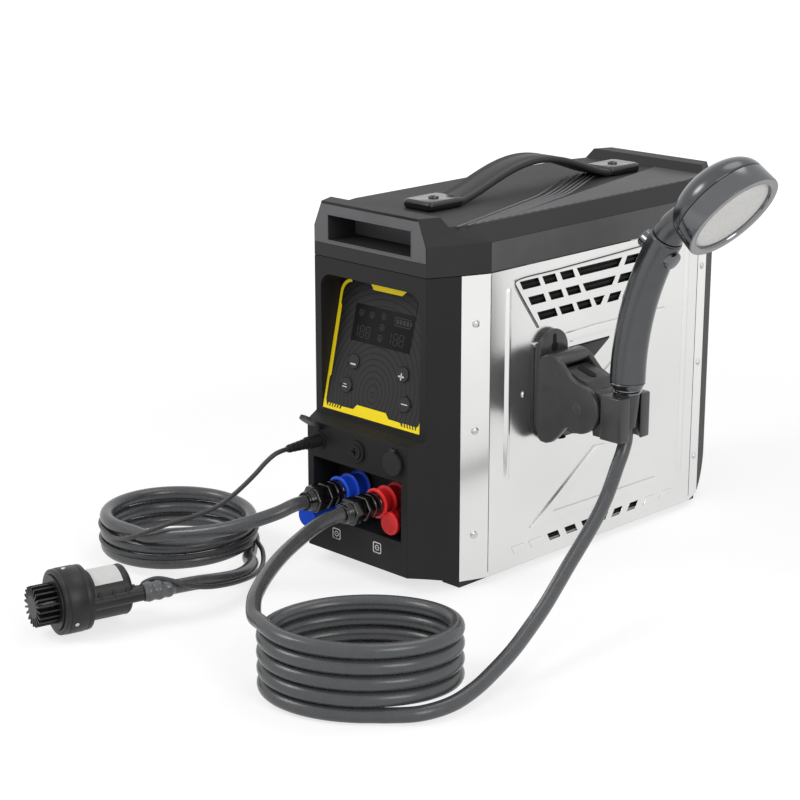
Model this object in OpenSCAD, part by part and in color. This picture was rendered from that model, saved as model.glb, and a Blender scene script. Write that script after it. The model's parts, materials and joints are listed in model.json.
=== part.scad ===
// Portable propane water heater with a hand shower, its two hoses and a submersible pump.
// Millimetres. +Z up, control face toward -Y, stainless side with the shower holder toward +X.
// The origin lies on the ground under the middle of the heater with its hand shower.

/* [Casing] */
// Width across the two side panels
case_w = 180; // [170:1:200]
// Width of the flat front face
front_w = 134; // [126:1:140]
// Width where the side panels meet the front and rear mouldings
edge_w = 161; // [154:1:168]
// Distance from the middle of the case to the front face
front_y = 173; // [170:1:180]
// Depth of each bevelled corner's plastic part
corner_d = 28; // [24:1:30]
// Depth of each bevelled corner's sheet metal part
flange_d = 25; // [20:1:30]
// Distance from the middle of the case to the rear face
rear_y = 216; // [205:1:230]
// Height of the feet
foot_h = 6; // [4:0.5:10]
// Height of the seam under the top cover
seam_z = 275; // [270:1:285]
// Height of the top cover's upright wall
cap_wall_h = 26; // [22:1:30]
// Rise of the sloping edge above that wall
cap_slope_h = 13.5; // [11:0.5:16]
// Run of the sloping edge
cap_slope_w = 12.5; // [10:0.5:15]
// Rise of the end lips above the trough
lip_h = 8.5; // [6:0.5:12]
// Wall of the plastic mouldings
wall = 2.5; // [2:0.1:3]
// Thickness of the sheet metal
sheet = 1; // [0.8:0.1:1.5]
// Gap at the seam between top cover and body
seam_gap = 0.6; // [0.3:0.1:1]

/* [Control bay and chin] */
// Width of the control bay
bay_w = 119; // [112:1:121]
// Height of the bay's lower edge
bay_z = 139; // [137:1:142]
// Height of the bay's opening
bay_h = 121; // [110:1:124]
// Depth of the bay at its top
bay_d = 27.5; // [20:0.5:29]
// Radius of the bay's upper corners
bay_r = 12; // [8:1:16]
// How far the chin stands out from the front face
chin_d = 16.2; // [12:0.1:20]
// Width of the chin's face
chin_w = 122.4; // [118:0.1:126]
// Height of the chin's upper edge
chin_top_z = 131.5; // [128:0.5:134]
// Height of the chin's lower edge
chin_low_z = 16; // [12:1:20]
// Width of the port recess
recess_w = 108; // [100:1:112]
// Height of the port recess's floor
recess_z = 46.5; // [42:0.5:50]
// Height of the port recess's opening
recess_h = 53; // [50:0.5:56]
// Depth of the port recess
recess_d = 31; // [28:0.5:34]
// Half the distance between the two ports
port_x = 23; // [21:0.5:25]
// Height of the ports
port_z = 74; // [70:0.5:76]

/* [Handle] */
// Width of the strap
strap_w = 31; // [24:1:34]
// Thickness of the strap
strap_t = 6; // [4:0.5:7]
// Rise of the strap above the trough
strap_rise = 23.5; // [20:0.5:30]
// Width of the end caps
cap_w = 34.4; // [34:0.1:40]
// Length of the end caps
cap_l = 43; // [36:1:48]
// Height of the end caps
cap_h = 8.5; // [8.5:0.5:12]
// Distance from the case middle to the front end cap's inner edge
strap_front_y = 74; // [68:1:80]
// Distance from the case middle to the rear end cap's inner edge
strap_rear_y = 125; // [118:1:130]

/* [Shower holder] */
// Middle of the holder along the side panel
holder_y = -42; // [-50:1:-35]
// Width of the wall plate
plate_w = 44; // [44:1:50]
// Thickness of the wall plate
plate_t = 6; // [4:0.5:7]
// Height of the plate's lower end
plate_z = 114; // [108:1:118]
// Height of the plate
plate_h = 101; // [96:1:108]
// Distance of the arm's pivot from the side panel
pivot_out = 49; // [46:1:54]
// Height of the arm's pivot
pivot_z = 156; // [152:1:160]
// Radius of the cheeks round the pivot
cheek_r = 22; // [20:0.5:24]
// Width of the arm
arm_w = 31.4; // [29:0.2:32]
// Distance of the cone clip's axis from the side panel
clip_out = 85; // [82:1:88]
// Height of the clip's lower end
clip_z = 134; // [130:1:136]
// Height of the clip
clip_h = 38.5; // [34:0.5:40]
// Radius of the pivot pin
pivot_r = 3; // [2.5:0.1:4]

/* [Hand shower] */
// Diameter of the grip
grip_d = 27; // [25:0.5:29]
// Bore of the grip
grip_bore = 19; // [15:0.5:21]
// Radius of the grip's bend
grip_bend = 252; // [230:1:280]
// Angle of the grip's bend
grip_arc = 31; // [28:0.5:34]
// Height of the grip's lower end
grip_z = 182; // [178:1:186]
// Diameter of the neck
neck_d = 24.6; // [22:0.2:26]
// Diameter of the spray head
head_d = 86.8; // [80:0.2:94]
// Thickness of the head's ring
ring_t = 17; // [14:0.5:20]
// Height of the head's dome
dome_h = 20; // [16:0.5:24]
// Angle of the spray face below level
spray_tilt = 38.5; // [34:0.5:42]
// Diameter of the stop button
stop_d = 15.4; // [12:0.2:17]
// Larger radius of the cone nut
cone_r1 = 11; // [10.5:0.1:11.2]
// Smaller radius of the cone nut
cone_r2 = 8.6; // [8:0.1:9]
// Length of the cone
cone_l = 30; // [26:1:32]

/* [Hoses and pump] */
// Outside diameter of both hoses
hose_d = 12; // [11:0.1:12.2]
// Diameter of the pump cable
cable_d = 4.2; // [3.6:0.1:4.4]
// Turns of the hot hose on the ground
hot_turns = 4.19; // [3:0.01:6]
// Climb of the hot hose in one turn
hot_pitch = 12.7; // [12.7:0.1:14]
// Half length of the hot hose's oval coil
hot_a = 73; // [66:1:80]
// Half width of the hot hose's oval coil
hot_b = 55; // [50:1:70]
// Turns of the cold hose on the ground
cold_turns = 2.64; // [2:0.01:4]
// Climb of the cold hose in one turn
cold_pitch = 13.2; // [13:0.1:14]
// Radius of the cold hose's round coil
cold_r = 64; // [60:1:70]
// Diameter of the pump's body
pump_d = 42; // [38:1:46]
// Diameter of the pump's collar
collar_d = 54; // [50:1:60]
// Diameter of the pump's strainer
strainer_d = 34; // [28:1:38]
// Number of fins round the strainer
fins = 20; // [12:1:24]

/* [Hidden] */
$fn = 48;
eps = 0.01;

// Clearances: parts that touch, parts that move, and soft parts
seat_gap = 0.05;
run_gap = 0.3;
pin_gap = 0.05;
small_gap = 0.2;

// Heights and outlines of the case
front_edge_y = front_y - corner_d;
front_bend_y = front_edge_y - flange_d;
rear_edge_y = rear_y - 26;
rear_bend_y = rear_edge_y - flange_d;
rear_w = front_w + 2;
shoulder_z = seam_z + cap_wall_h;
trough_z = shoulder_z + cap_slope_h;
lip_z = trough_z + lip_h;
pan_t = 1.6;
pan_top = foot_h + pan_t;
body_top = seam_z - seam_gap;

// Plan outline of the case, drawn in by a distance
function case_plan(in) = [
    [-front_w / 2 + in, -front_y + in], [front_w / 2 - in, -front_y + in],
    [edge_w / 2 - in, -front_edge_y + in * 0.4], [case_w / 2 - in, -front_bend_y],
    [case_w / 2 - in, rear_bend_y], [edge_w / 2 - in, rear_edge_y - in * 0.4],
    [rear_w / 2 - in, rear_y - in], [-rear_w / 2 + in, rear_y - in],
    [-edge_w / 2 + in, rear_edge_y - in * 0.4], [-case_w / 2 + in, rear_bend_y],
    [-case_w / 2 + in, -front_bend_y], [-edge_w / 2 + in, -front_edge_y + in * 0.4]
];

// The chin's underside rises toward the front
rake = (chin_low_z - foot_h) / (corner_d + chin_d);
chin_y = front_y + chin_d;
chin_back_z = foot_h + rake * corner_d;
chin_shelf_h = 4;

// Control bay: a slope from the bay's lower edge back to its top
bay_lean = bay_d / bay_h;
bay_tilt = atan(bay_lean);
overlay_t = 1.4;
bay_floor_in = 2;
bay_slope = sqrt(bay_d * bay_d + bay_h * bay_h);
button_d = 13;
well_gap = 0.25;
button_rise = 0.8;
button_travel = 0.6;
button_l = 6.2;
// Button places on the slope: across, and up from its lower edge
button_at = [[-30, 46], [30, 46], [-34.5, 24.5], [37, 21.5]];
window_size = [74, 42];
window_at = [-3, bay_slope - 53];

// Sockets in the chin
pump_socket_x = -46.5;
fuse_x = 0.5;
dc_socket_x = 46;
socket_z = 115.5;
socket_bore_r = 2.75;
socket_barrel_r = 7;
socket_l = 20;
cover_r = 10.5;
cover_t = 3;
cover_hinge_r = 1.5;
fuse_flange_r = 9.6;
fuse_barrel_r = 7.5;
fuse_cap_r = 6.6;
fuse_l = 34;

// Water ports, from the recess wall forward
recess_back_y = chin_y - recess_d;
port_r = 8;
port_bore_r = 5;
port_end_y = 200;
sleeve_r = 10.4;
sleeve_wall = 2.2;
sleeve_flange_r = 13.2;
sleeve_ys = [163, 176, 188];
nut_start_y = 190;
nut_hex_y = 199;
nut_end_y = 207.5;
nut_r = 11;
nut_af = 21;
fitting_hex_y = 210;
fitting_collar_y = 222;
fitting_end_y = 229;
fitting_af = 22;
fitting_collar_r = 8.3;
cap_disc_r = 10.2;
// Place of each hanging cap's disc from its port: across and up
cap_disc_at = [[-16, -21], [16, -14.5]];
cap_disc_t = 5;
// The right disc hangs beside its port and ends behind the turning nut
cap_nut_gap = 0.6;
cap_disc_y = [208, nut_start_y - cap_nut_gap - cap_disc_t];

// Handle
handle_seat_z = trough_z + seat_gap;
strap_half = (strap_front_y + strap_rear_y) / 2;
strap_mid_y = (strap_rear_y - strap_front_y) / 2;
handle_screw_r = 4.6;
strap_lift = 0.8;

// Shower holder
panel_x = case_w / 2;
pivot_x = panel_x + pivot_out;
clip_x = panel_x + clip_out;
arm_pocket_r = 37.5;
plate_gap = 0.1;
hose_slot = hose_d + 1.4;
jaw_end_x = clip_x + 10;
jaw_w = 40;
keyhole_z = 200;

// Hand shower: the grip bends about a far centre, the neck about a near one
bend_x = clip_x + grip_bend;
neck_bend = 48;
neck_arc = 40;
neck_x = bend_x - grip_bend * cos(grip_arc) + neck_bend * cos(grip_arc);
neck_z = grip_z + grip_bend * sin(grip_arc) - neck_bend * sin(grip_arc);
head_out = ring_t + 11;
head_up = 27.5;
neck_end_x = neck_x - neck_bend * cos(grip_arc + neck_arc);
neck_end_z = neck_z + neck_bend * sin(grip_arc + neck_arc);
face_x = neck_end_x + head_out * cos(spray_tilt) + head_up * sin(spray_tilt);
face_z = neck_end_z - head_out * sin(spray_tilt) + head_up * cos(spray_tilt);
head_wall = 3.2;
stop_arc = 27.8;
stop_out = 4.5;

// Case frame to part frame: the heater with its hand shower is centred on the origin
head_reach = face_x + head_d / 2 * sin(spray_tilt);
case_x = -(head_reach - case_w / 2) / 2;
case_y = -3.5;

// Screws of the case
screw_r = 3.4;
screw_h = 1.5;
screw_hole_r = 1.6;
screw_zs = [47, 140, 233];
flange_angle = atan((case_w - edge_w) / 2 / flange_d);

// Pump, lying on its collar
pump_at = [-69, -389, collar_d / 2 + 0.3];
pump_turn = 76;
collar_l = 24;
body_l = 37;
strainer_l = 19.5;
outlet_side = 19;
outlet_r = 6;
outlet_past = 8;

// Hose and cable coils
hose_r = hose_d / 2;
cable_r = cable_d / 2;
ground_gap = 0.3;
rings_per_turn = 24;
// The view-wide and the deep axis of the oval coil
axis_a = [0.709, 0.705];
axis_b = [-0.705, 0.709];
hot_centre = [172.5, -352];
hot_start = 200;
cold_centre = [-155, -260.5];
cold_start = -130;
cable_start = -150;
cable_turns = 1.57;
cord_gap = 0.5;
cable_out = sqrt(pow(hose_r + cable_r + cord_gap, 2) - pow(cold_pitch / 2, 2));

// Unit vector, and points and headings along the coils at an angle
function unit(v) = v / norm(v);
function oval(c, a, b, t) = c + a * cos(t) * axis_a + b * sin(t) * axis_b;
function oval_way(a, b, t) = unit(-a * sin(t) * axis_a + b * cos(t) * axis_b);
function at_z(p, z) = [p[0], p[1], z];

// Hot hose: counter-clockwise going down
hot_low_z = hose_r + ground_gap;
function hot_point(f) = at_z(oval(hot_centre, hot_a, hot_b, hot_start + 360 * f),
                             hot_low_z + (hot_turns - f) * hot_pitch);
hot_way_in = at_z(oval_way(hot_a, hot_b, hot_start), 0);
hot_way_out = at_z(oval_way(hot_a, hot_b, hot_start + 360 * hot_turns), 0);
hot_first = hot_point(0) - hose_d * hot_way_in;
hot_last = hot_point(hot_turns) + hose_d * hot_way_out;
hot_coil_points = concat([hot_first],
    [for (i = [0:round(hot_turns * rings_per_turn)])
        hot_point(i * hot_turns / round(hot_turns * rings_per_turn))],
    [hot_last]);

// Cold hose: clockwise going down, with the pump cable in the groove outside it
cold_low_z = hose_r + ground_gap;
function cold_point(f, r = cold_r, drop = 0) =
    at_z(oval(cold_centre, r, r, cold_start - 360 * f),
         cold_low_z + (cold_turns - f) * cold_pitch - drop);
function cold_way(f) = at_z(-oval_way(1, 1, cold_start - 360 * f), 0);
cold_first = cold_point(0) - hose_d * cold_way(0);
cold_last = cold_point(cold_turns) + hose_d * cold_way(cold_turns);
cold_coil_points = concat([cold_first],
    [for (i = [0:round(cold_turns * rings_per_turn)])
        cold_point(i * cold_turns / round(cold_turns * rings_per_turn))],
    [cold_last]);
cable_f0 = (cold_start - cable_start) / 360;
function cable_point(f) = cold_point(cable_f0 + f, cold_r + cable_out, cold_pitch / 2);
cable_first = cable_point(0) - cable_d * cold_way(cable_f0);
cable_way_out = cold_way(cable_f0 + cable_turns);
cable_last = cable_point(cable_turns) + cable_d * cable_way_out;
cable_coil_points = concat([cable_first],
    [for (i = [0:round(cable_turns * rings_per_turn)])
        cable_point(i * cable_turns / round(cable_turns * rings_per_turn))],
    [cable_last]);

// Least gap of a coil to itself, more than half a turn apart
function coil_gap(p, d) = min([for (i = [0:len(p) - 1], j = [i + 12:1:len(p) - 1])
    norm(p[i] - p[j])]) - d;
echo(hot_hose_gap = coil_gap(hot_coil_points, hose_d));
echo(cold_hose_gap = coil_gap(cold_coil_points, hose_d));
echo(cable_coil_gap = coil_gap(cable_coil_points, cable_d));
echo(hose_to_cable_gap = min([for (p = cold_coil_points, q = cable_coil_points) norm(p - q)])
    - hose_r - cable_r);

// Routes of the free stretches, in the case frame
cold_exit = [-port_x, -fitting_end_y, port_z];
hot_exit = [port_x, -fitting_end_y, port_z];
plug_end = [pump_socket_x, -226, socket_z];
nut_end = [clip_x, holder_y, clip_z + clip_h + 1.5 - cone_l];
pump_way = [cos(pump_turn), sin(pump_turn), 0];
outlet_end = pump_at + outlet_past * pump_way
    + outlet_side * [sin(pump_turn), -cos(pump_turn), 0];
function on_pump_point(p) = pump_at + p[0] * pump_way
    + p[1] * [-sin(pump_turn), cos(pump_turn), 0] + [0, 0, p[2]];
gland_y = -9.4;
gland_l = 5;
cold_lead_points = [
    cold_exit, cold_exit - [0, hose_d, 0], [-26, -255, 70.5], [-36, -272, 65], [-52, -288, 58],
    [-73, -302, 52], [-97, -313, 47], cold_first - 14 * cold_way(0), cold_first
];
cold_tail_points = [
    cold_last, cold_last + 14 * cold_way(cold_turns), [-76, -244, 8], [-60, -263, 11],
    [-48, -285, 15], [-42, -309, 20], [-41, -334, 24.5],
    outlet_end + 26 * pump_way, outlet_end + 12 * pump_way, outlet_end
];
cable_lead_points = [
    plug_end, plug_end - [0, cable_d, 0], [-47, -240, 114], [-50, -248, 108], [-54, -256, 99],
    [-60, -264, 89], [-67, -273, 79], [-75, -284, 70], [-84, -297, 64], [-94, -311, 59.5],
    [-105, -323, 54], [-118, -331, 47], [-132, -335, 40.5],
    cable_first - 12 * cold_way(cable_f0), cable_first
];
cable_tail_points = [
    cable_last, cable_last + 6 * cable_way_out, [-84.5, -224, 12], [-68.5, -237.5, 9],
    [-52.3, -257.5, 10], [-39.4, -281.7, 14], [-33, -308, 18], [-31.6, -333.5, 23],
    on_pump_point([43, -27.2, 3]), on_pump_point([32, -23.5, 7.8]),
    on_pump_point([22, -15.5, 9]), on_pump_point([13, gland_y - 0.8, 5]),
    on_pump_point([gland_l + 6, gland_y, 2]), on_pump_point([gland_l + seat_gap, gland_y, 2])
];
hot_lead_points = [
    hot_exit, hot_exit - [0, hose_d, 0], [27, -263, 72.7], [37, -290, 71.2], [49, -318, 69.4],
    [64, -346, 67.3], [80, -371, 65.2], [96, -391, 63.5],
    hot_first - 14 * hot_way_in, hot_first
];
hot_rise_points = [
    hot_last, hot_last + 12 * hot_way_out, [242, -359, 7], [249.5, -333, 8.5], [248.5, -306, 12],
    [244, -280, 17], [238, -253, 23], [230.5, -226, 30.5], [222.5, -199, 39], [214, -173, 48.5],
    [206, -148, 58.5], [198.5, -122, 69.5], [192, -99, 80.5], [186, -80, 91.5],
    [181.4, -67, 101], [178, -56.5, 111], [175.8, -47, 122],
    nut_end - [0, 0, hose_d], nut_end
];

// A round tube swept along points, from triangles
module tube(p, r, sides) {
    n = len(p);
    way = [for (i = [0:n - 1]) unit(p[min(i + 1, n - 1)] - p[max(i - 1, 0)])];
    first = abs(way[0][2]) < 0.9 ? [0, 0, 1] : [1, 0, 0];
    side = [for (i = 0, v = unit(cross(first, way[0])); i < n; i = i + 1,
        v = i < n ? unit(v - (v * way[i]) * way[i]) : v) v];
    ring = [for (i = [0:n - 1], k = [0:sides - 1])
        p[i] + r * (cos(360 * k / sides) * side[i]
            + sin(360 * k / sides) * cross(way[i], side[i]))];
    walls = [for (i = [0:n - 2], k = [0:sides - 1], h = [0, 1])
        let (a = i * sides + k, b = i * sides + (k + 1) % sides)
        h == 0 ? [a, a + sides, b] : [b, a + sides, b + sides]];
    ends = [for (k = [1:sides - 2], e = [0, 1]) let (z = (n - 1) * sides)
        e == 0 ? [0, k, k + 1] : [z, z + k + 1, z + k]];
    polyhedron(points = ring, faces = concat(walls, ends), convexity = 8);
}

// Everything is drawn in the case frame and moved to the part frame
module on_case() translate([case_x, case_y, 0]) children();

// The slope of the control bay: X across, Y up the slope, Z out of it
module on_slope(out = 0)
    translate([0, -front_y + bay_floor_in, bay_z]) rotate([90 - bay_tilt, 0, 0])
        translate([0, 0, out]) children();

// A cylinder toward -Y from one distance in front of the case middle to another
module forward(x, z, y1, y2, r, fn = 48)
    translate([x, -y1, z]) rotate([90, 0, 0]) cylinder(r = r, h = y2 - y1, $fn = fn);

// A six-sided prism toward -Y with its flats up and down
module hex_forward(x, z, y1, y2, af)
    translate([x, -y1, z]) rotate([90, 0, 0]) rotate([0, 0, 0])
        cylinder(d = af / cos(30), h = y2 - y1, $fn = 6);

// A prism across the case from a side outline of [y, z] points
module across(points, w)
    translate([-w / 2, 0, 0]) rotate([90, 0, 90]) linear_extrude(w) polygon(points);

// ---- Casing ----

module front_shell(in) {
    linear_extrude(body_top - in * 0.5)
        polygon([
            [-edge_w / 2 + in, -front_edge_y + (in > 0 ? 1 : 0)],
            [-front_w / 2 + in, -front_y + in],
            [front_w / 2 - in, -front_y + in],
            [edge_w / 2 - in, -front_edge_y + (in > 0 ? 1 : 0)]
        ]);
    hull() {
        translate([0, -chin_y + in, 0]) across([[0, chin_low_z + in], [0.1, chin_low_z + in],
            [0.1, chin_top_z - in], [0, chin_top_z - in]], chin_w - 2 * in);
        translate([0, -front_y + in, 0]) across([[0, chin_back_z + in], [0.1, chin_back_z + in],
            [0.1, chin_top_z + chin_shelf_h - in], [0, chin_top_z + chin_shelf_h - in]],
            front_w - 2 * in);
    }
}

module raked_floor(up)
    across([[-front_edge_y + 2, foot_h + up], [-front_edge_y, foot_h + up],
        [-chin_y - 2, chin_low_z + rake * 2 + up], [-chin_y - 2, -5], [-front_edge_y + 2, -5]],
        case_w + 20);

module bay_prism(out)
    intersection() {
        translate([0, 0, bay_z - out]) rotate([90, 0, 0]) linear_extrude(front_y + 4)
            union() {
                translate([-bay_w / 2 - out, 0]) square([bay_w + 2 * out, bay_h + out - bay_r]);
                translate([-bay_w / 2 - out + bay_r, 0])
                    square([bay_w + 2 * out - 2 * bay_r, bay_h + 2 * out]);
                for (s = [-1, 1])
                    translate([s * (bay_w / 2 + out - bay_r), bay_h + 2 * out - bay_r])
                        circle(r = bay_r);
            }
        across([[-front_y - 3 + (out > 0 ? 3.2 : 0), bay_z - out],
            [-front_y + bay_floor_in + out * (1.1 - bay_lean), bay_z - out],
            [-front_y + bay_floor_in + bay_d + out * (1.1 + bay_lean), bay_z + bay_h + out],
            [-front_y - 3 + (out > 0 ? 3.2 : 0), bay_z + bay_h + out]], case_w);
    }

module front_housing() color("#2b2b2c") on_case() difference() {
    union() {
        difference() {
            front_shell(0);
            difference() {
                translate([0, 0, -1]) front_shell(wall);
                raked_floor(wall);
            }
            raked_floor(0);
        }
        bay_prism(tray_wall);
        translate([-recess_w / 2 - wall, -chin_y + 1, recess_z - wall])
            cube([recess_w + 2 * wall, recess_d + wall - 1, recess_h + 2 * wall]);
    }
    bay_prism(0);
    translate([-recess_w / 2, -chin_y - 1, recess_z]) cube([recess_w, recess_d + 1, recess_h]);
    for (s = [-1, 1])
        forward(s * port_x, port_z, recess_back_y - 10, recess_back_y + 4, port_r + small_gap);
    forward(pump_socket_x, socket_z, front_y - 8, chin_y + 4, socket_barrel_r + small_gap);
    forward(dc_socket_x, socket_z, front_y - 8, chin_y + 4, socket_barrel_r + small_gap);
    forward(fuse_x, socket_z, front_y - 8, chin_y + 4, fuse_barrel_r + small_gap);
    for (b = button_at)
        on_slope(-8) translate([b[0], b[1], 0]) cylinder(d = button_d - 2, h = 16);
}

// One slot through the side panel: its upper edge from y1 to y2, and each end's lean below it
module panel_slot(y1, y2, lean1, lean2, top, h)
    translate([case_w / 2 - 3, 0, 0]) rotate([90, 0, 90]) linear_extrude(6)
        polygon([[y1, top], [y2, top], [y2 + lean2, top - h], [y1 + lean1, top - h]]);

// The three upper vent rows and the lower row: height, then each slot's ends and leans
vent_rows = [
    [seam_z - 13.5, [[-84, -60.5, 4.5, 4], [-55.4, -38.5, 4.5, 4], [-32.4, -15.3, 4.5, 4],
        [-9.8, 52.7, 5, -5], [59.6, 76.6, -4, -4]]],
    [seam_z - 28.7, [[-73, -53, 4.5, 4], [-47, -30, 4.5, 4], [-24.3, -6.5, 4.5, 4],
        [-1.3, 44.5, 5, -5], [50.9, 67.5, -4, -4]]],
    [seam_z - 44, [[-61, -37.5, 4.5, 4], [-32.5, -14.8, 4.5, 4], [-9.4, 8.6, 4.5, 4],
        [13.8, 29.6, 5, -5], [37.1, 53.1, -4, -4], [58, 74, -4, -4]]]
];
vent_h = 7.7;
low_vents = [[-41.6, -27, 4, 4], [-18.2, -3.8, 4, 4], [5.1, 20.2, 4, 4], [28.6, 44, 4, -4],
    [52.6, 64.8, -4.5, -4.5], [75.4, 87.4, -4.5, -4.5]];
low_vent_z = foot_h + 19.4;
low_vent_h = 7.2;

module side_panel_sheet() difference() {
    translate([0, 0, foot_h]) linear_extrude(body_top - foot_h)
        polygon([
            [edge_w / 2, -front_edge_y], [case_w / 2, -front_bend_y],
            [case_w / 2, rear_bend_y], [edge_w / 2, rear_edge_y],
            [edge_w / 2 - sheet, rear_edge_y - sheet * 0.35],
            [case_w / 2 - sheet, rear_bend_y - sheet * 0.2],
            [case_w / 2 - sheet, -front_bend_y + sheet * 0.2],
            [edge_w / 2 - sheet, -front_edge_y + sheet * 0.35]
        ]);
    for (row = vent_rows, s = row[1]) panel_slot(s[0], s[1], s[2], s[3], row[0], vent_h);
    for (s = low_vents) panel_slot(s[0], s[1], s[2], s[3], low_vent_z, low_vent_h);
    for (z = screw_zs, e = [0, 1]) on_flange(e, z)
        translate([0, 0, -4]) cylinder(r = screw_hole_r + small_gap, h = 8, $fn = 24);
}

// The middle of the front (0) or rear (1) flange of the right side at a height, Z outward
module on_flange(e, z)
    translate([(case_w + edge_w) / 4,
        e == 0 ? -(front_edge_y + front_bend_y) / 2 : (rear_edge_y + rear_bend_y) / 2, z])
        rotate([0, 0, e == 0 ? -flange_angle : flange_angle]) rotate([0, 90, 0]) children();

module right_panel() color("#d8d8d6") on_case() side_panel_sheet();

module left_panel() color("#d8d8d6") on_case() mirror([1, 0, 0]) side_panel_sheet();

module casing_screws() color("#b9babb") on_case() {
    for (s = [0, 1], z = screw_zs, e = [0, 1]) mirror([s, 0, 0]) on_flange(e, z) {
        cylinder(r = screw_r, h = screw_h, $fn = 24);
        translate([0, 0, -3.5]) cylinder(r = screw_hole_r, h = 4, $fn = 24);
    }
    for (y = [-strap_front_y - cap_l / 2, strap_rear_y + cap_l / 2])
        translate([0, y, handle_seat_z + cap_h]) cylinder(r = handle_screw_r, h = 1.4, $fn = 24);
}

rear_round = 36;

module rear_block(in) {
    rise = rear_round - in;
    intersection() {
        linear_extrude(body_top - in)
            polygon([
                [-edge_w / 2 + in, rear_edge_y - (in > 0 ? 1 : 0)],
                [edge_w / 2 - in, rear_edge_y - (in > 0 ? 1 : 0)],
                [rear_w / 2 - in, rear_y - in], [-rear_w / 2 + in, rear_y - in]
            ]);
        translate([-case_w, 0, 0]) rotate([90, 0, 90]) linear_extrude(2 * case_w) union() {
            translate([rear_edge_y - 30, foot_h + in]) square([56 - rear_round, 300]);
            translate([rear_edge_y - 30, foot_h + rear_round])
                square([56 - in, 300]);
            translate([rear_y - rear_round, foot_h + rear_round]) circle(r = rise, $fn = 64);
        }
    }
}

inlet_x = -30;
inlet_z = 90;
inlet_r = 7.9;
inlet_hole_r = 10;

module rear_cover() color("#2b2b2c") on_case() difference() {
    rear_block(0);
    rear_block(wall);
    translate([inlet_x, rear_y - 6, inlet_z]) rotate([-90, 0, 0])
        cylinder(r = inlet_hole_r, h = 12);
    for (i = [0:7])
        translate([-35, rear_y - 6, 180 + 9 * i]) cube([70, 12, 4]);
}

// Outline of a lip's top and foot, for the front; the rear one is its mirror
function lip_top(in) = [
    [-front_w / 2 + 9.5 + in, -front_y + in], [front_w / 2 - 9.5 - in, -front_y + in],
    [front_w / 2 - 2 - in, -front_y + 18 - in], [-front_w / 2 + 2 + in, -front_y + 18 - in]
];
function lip_foot(in) = [
    [-front_w / 2 + in, -front_y + in], [front_w / 2 - in, -front_y + in],
    [edge_w / 2 - 1 - in, -front_edge_y + 3 - in], [-edge_w / 2 + 1 + in, -front_edge_y + 3 - in]
];

// Outline of the trough's edge
function trough_plan(in) = let (run = cap_slope_w + in) [
    [-front_w / 2 + 6 + in, -front_y + in + 2], [front_w / 2 - 6 - in, -front_y + in + 2],
    [edge_w / 2 - 10 - in, -front_edge_y + 4], [case_w / 2 - run, -front_bend_y + 6],
    [case_w / 2 - run, rear_bend_y - 6], [edge_w / 2 - 10 - in, rear_edge_y - 4],
    [rear_w / 2 - 6 - in, rear_y - in - 2], [-rear_w / 2 + 6 + in, rear_y - in - 2],
    [-edge_w / 2 + 10 + in, rear_edge_y - 4], [-case_w / 2 + run, rear_bend_y - 6],
    [-case_w / 2 + run, -front_bend_y + 6], [-edge_w / 2 + 10 + in, -front_edge_y + 4]
];

module thin(points, z) translate([0, 0, z]) linear_extrude(eps) polygon(points);

module lip_block(in) hull() {
    thin(lip_foot(in), shoulder_z - in);
    thin(lip_top(in), lip_z - in - eps);
}

module cap_body(in) {
    translate([0, 0, seam_z]) linear_extrude(cap_wall_h - in + eps) polygon(case_plan(in));
    hull() {
        thin(case_plan(in), shoulder_z - in);
        thin(trough_plan(in), trough_z - in - eps);
    }
}

// Finger grip in each lip
grip_w = 100;
grip_h = 22;
grip_depth = 34;
grip_floor_z = 290;

module finger_grip(out)
    translate([-grip_w / 2 - out, -out, grip_floor_z - out])
        cube([grip_w + 2 * out, grip_depth + 2 * out, grip_h + 2 * out]);

module top_cover() color("#333334") on_case() difference() {
    union() {
        difference() {
            union() {
                cap_body(0);
                lip_block(0);
                translate([0, rear_y - front_y, 0]) mirror([0, 1, 0]) lip_block(0);
            }
            difference() {
                translate([0, 0, -eps]) cap_body(wall);
                translate([-case_w / 2, -front_y, grip_floor_z - wall])
                    cube([case_w, grip_depth + wall, grip_h + 2 * wall + 12]);
            }
        }
    }
    translate([0, -front_y, 0]) translate([0, -1, 0]) finger_grip(0);
}

module bottom_pan() color("#9a9b9c") on_case() translate([0, 0, foot_h]) {
    linear_extrude(pan_t)
        polygon([
            [-edge_w / 2 + 3, -front_edge_y + 3.4], [edge_w / 2 - 3, -front_edge_y + 3.4],
            [case_w / 2 - sheet - 0.3, -front_bend_y],
            [case_w / 2 - sheet - 0.3, rear_bend_y - 0.3],
            [edge_w / 2 - 3, rear_edge_y - 1.6], [-edge_w / 2 + 3, rear_edge_y - 1.6],
            [-case_w / 2 + sheet + 0.3, rear_bend_y - 0.3],
            [-case_w / 2 + sheet + 0.3, -front_bend_y]
        ]);
    for (s = [-1, 1])
        translate([s * (case_w / 2 - sheet - 0.3) - (s > 0 ? sheet : 0), -front_bend_y, 0])
            cube([sheet, rear_bend_y + front_bend_y - 0.3, 14]);
}

module feet() color("#1c1c1d") on_case()
    for (s = [-1, 1], y = [-front_bend_y - 24, rear_bend_y - 12])
        translate([s * (edge_w / 2 - 11) - 10, y, 0]) cube([20, 34, foot_h]);

// ---- Control panel ----

module rounded_panel(w, h, r)
    union() {
        translate([-w / 2, 0]) square([w, h - r]);
        translate([-w / 2 + r, 0]) square([w - 2 * r, h]);
        for (s = [-1, 1]) translate([s * (w / 2 - r), h - r]) circle(r = r);
    }

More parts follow.
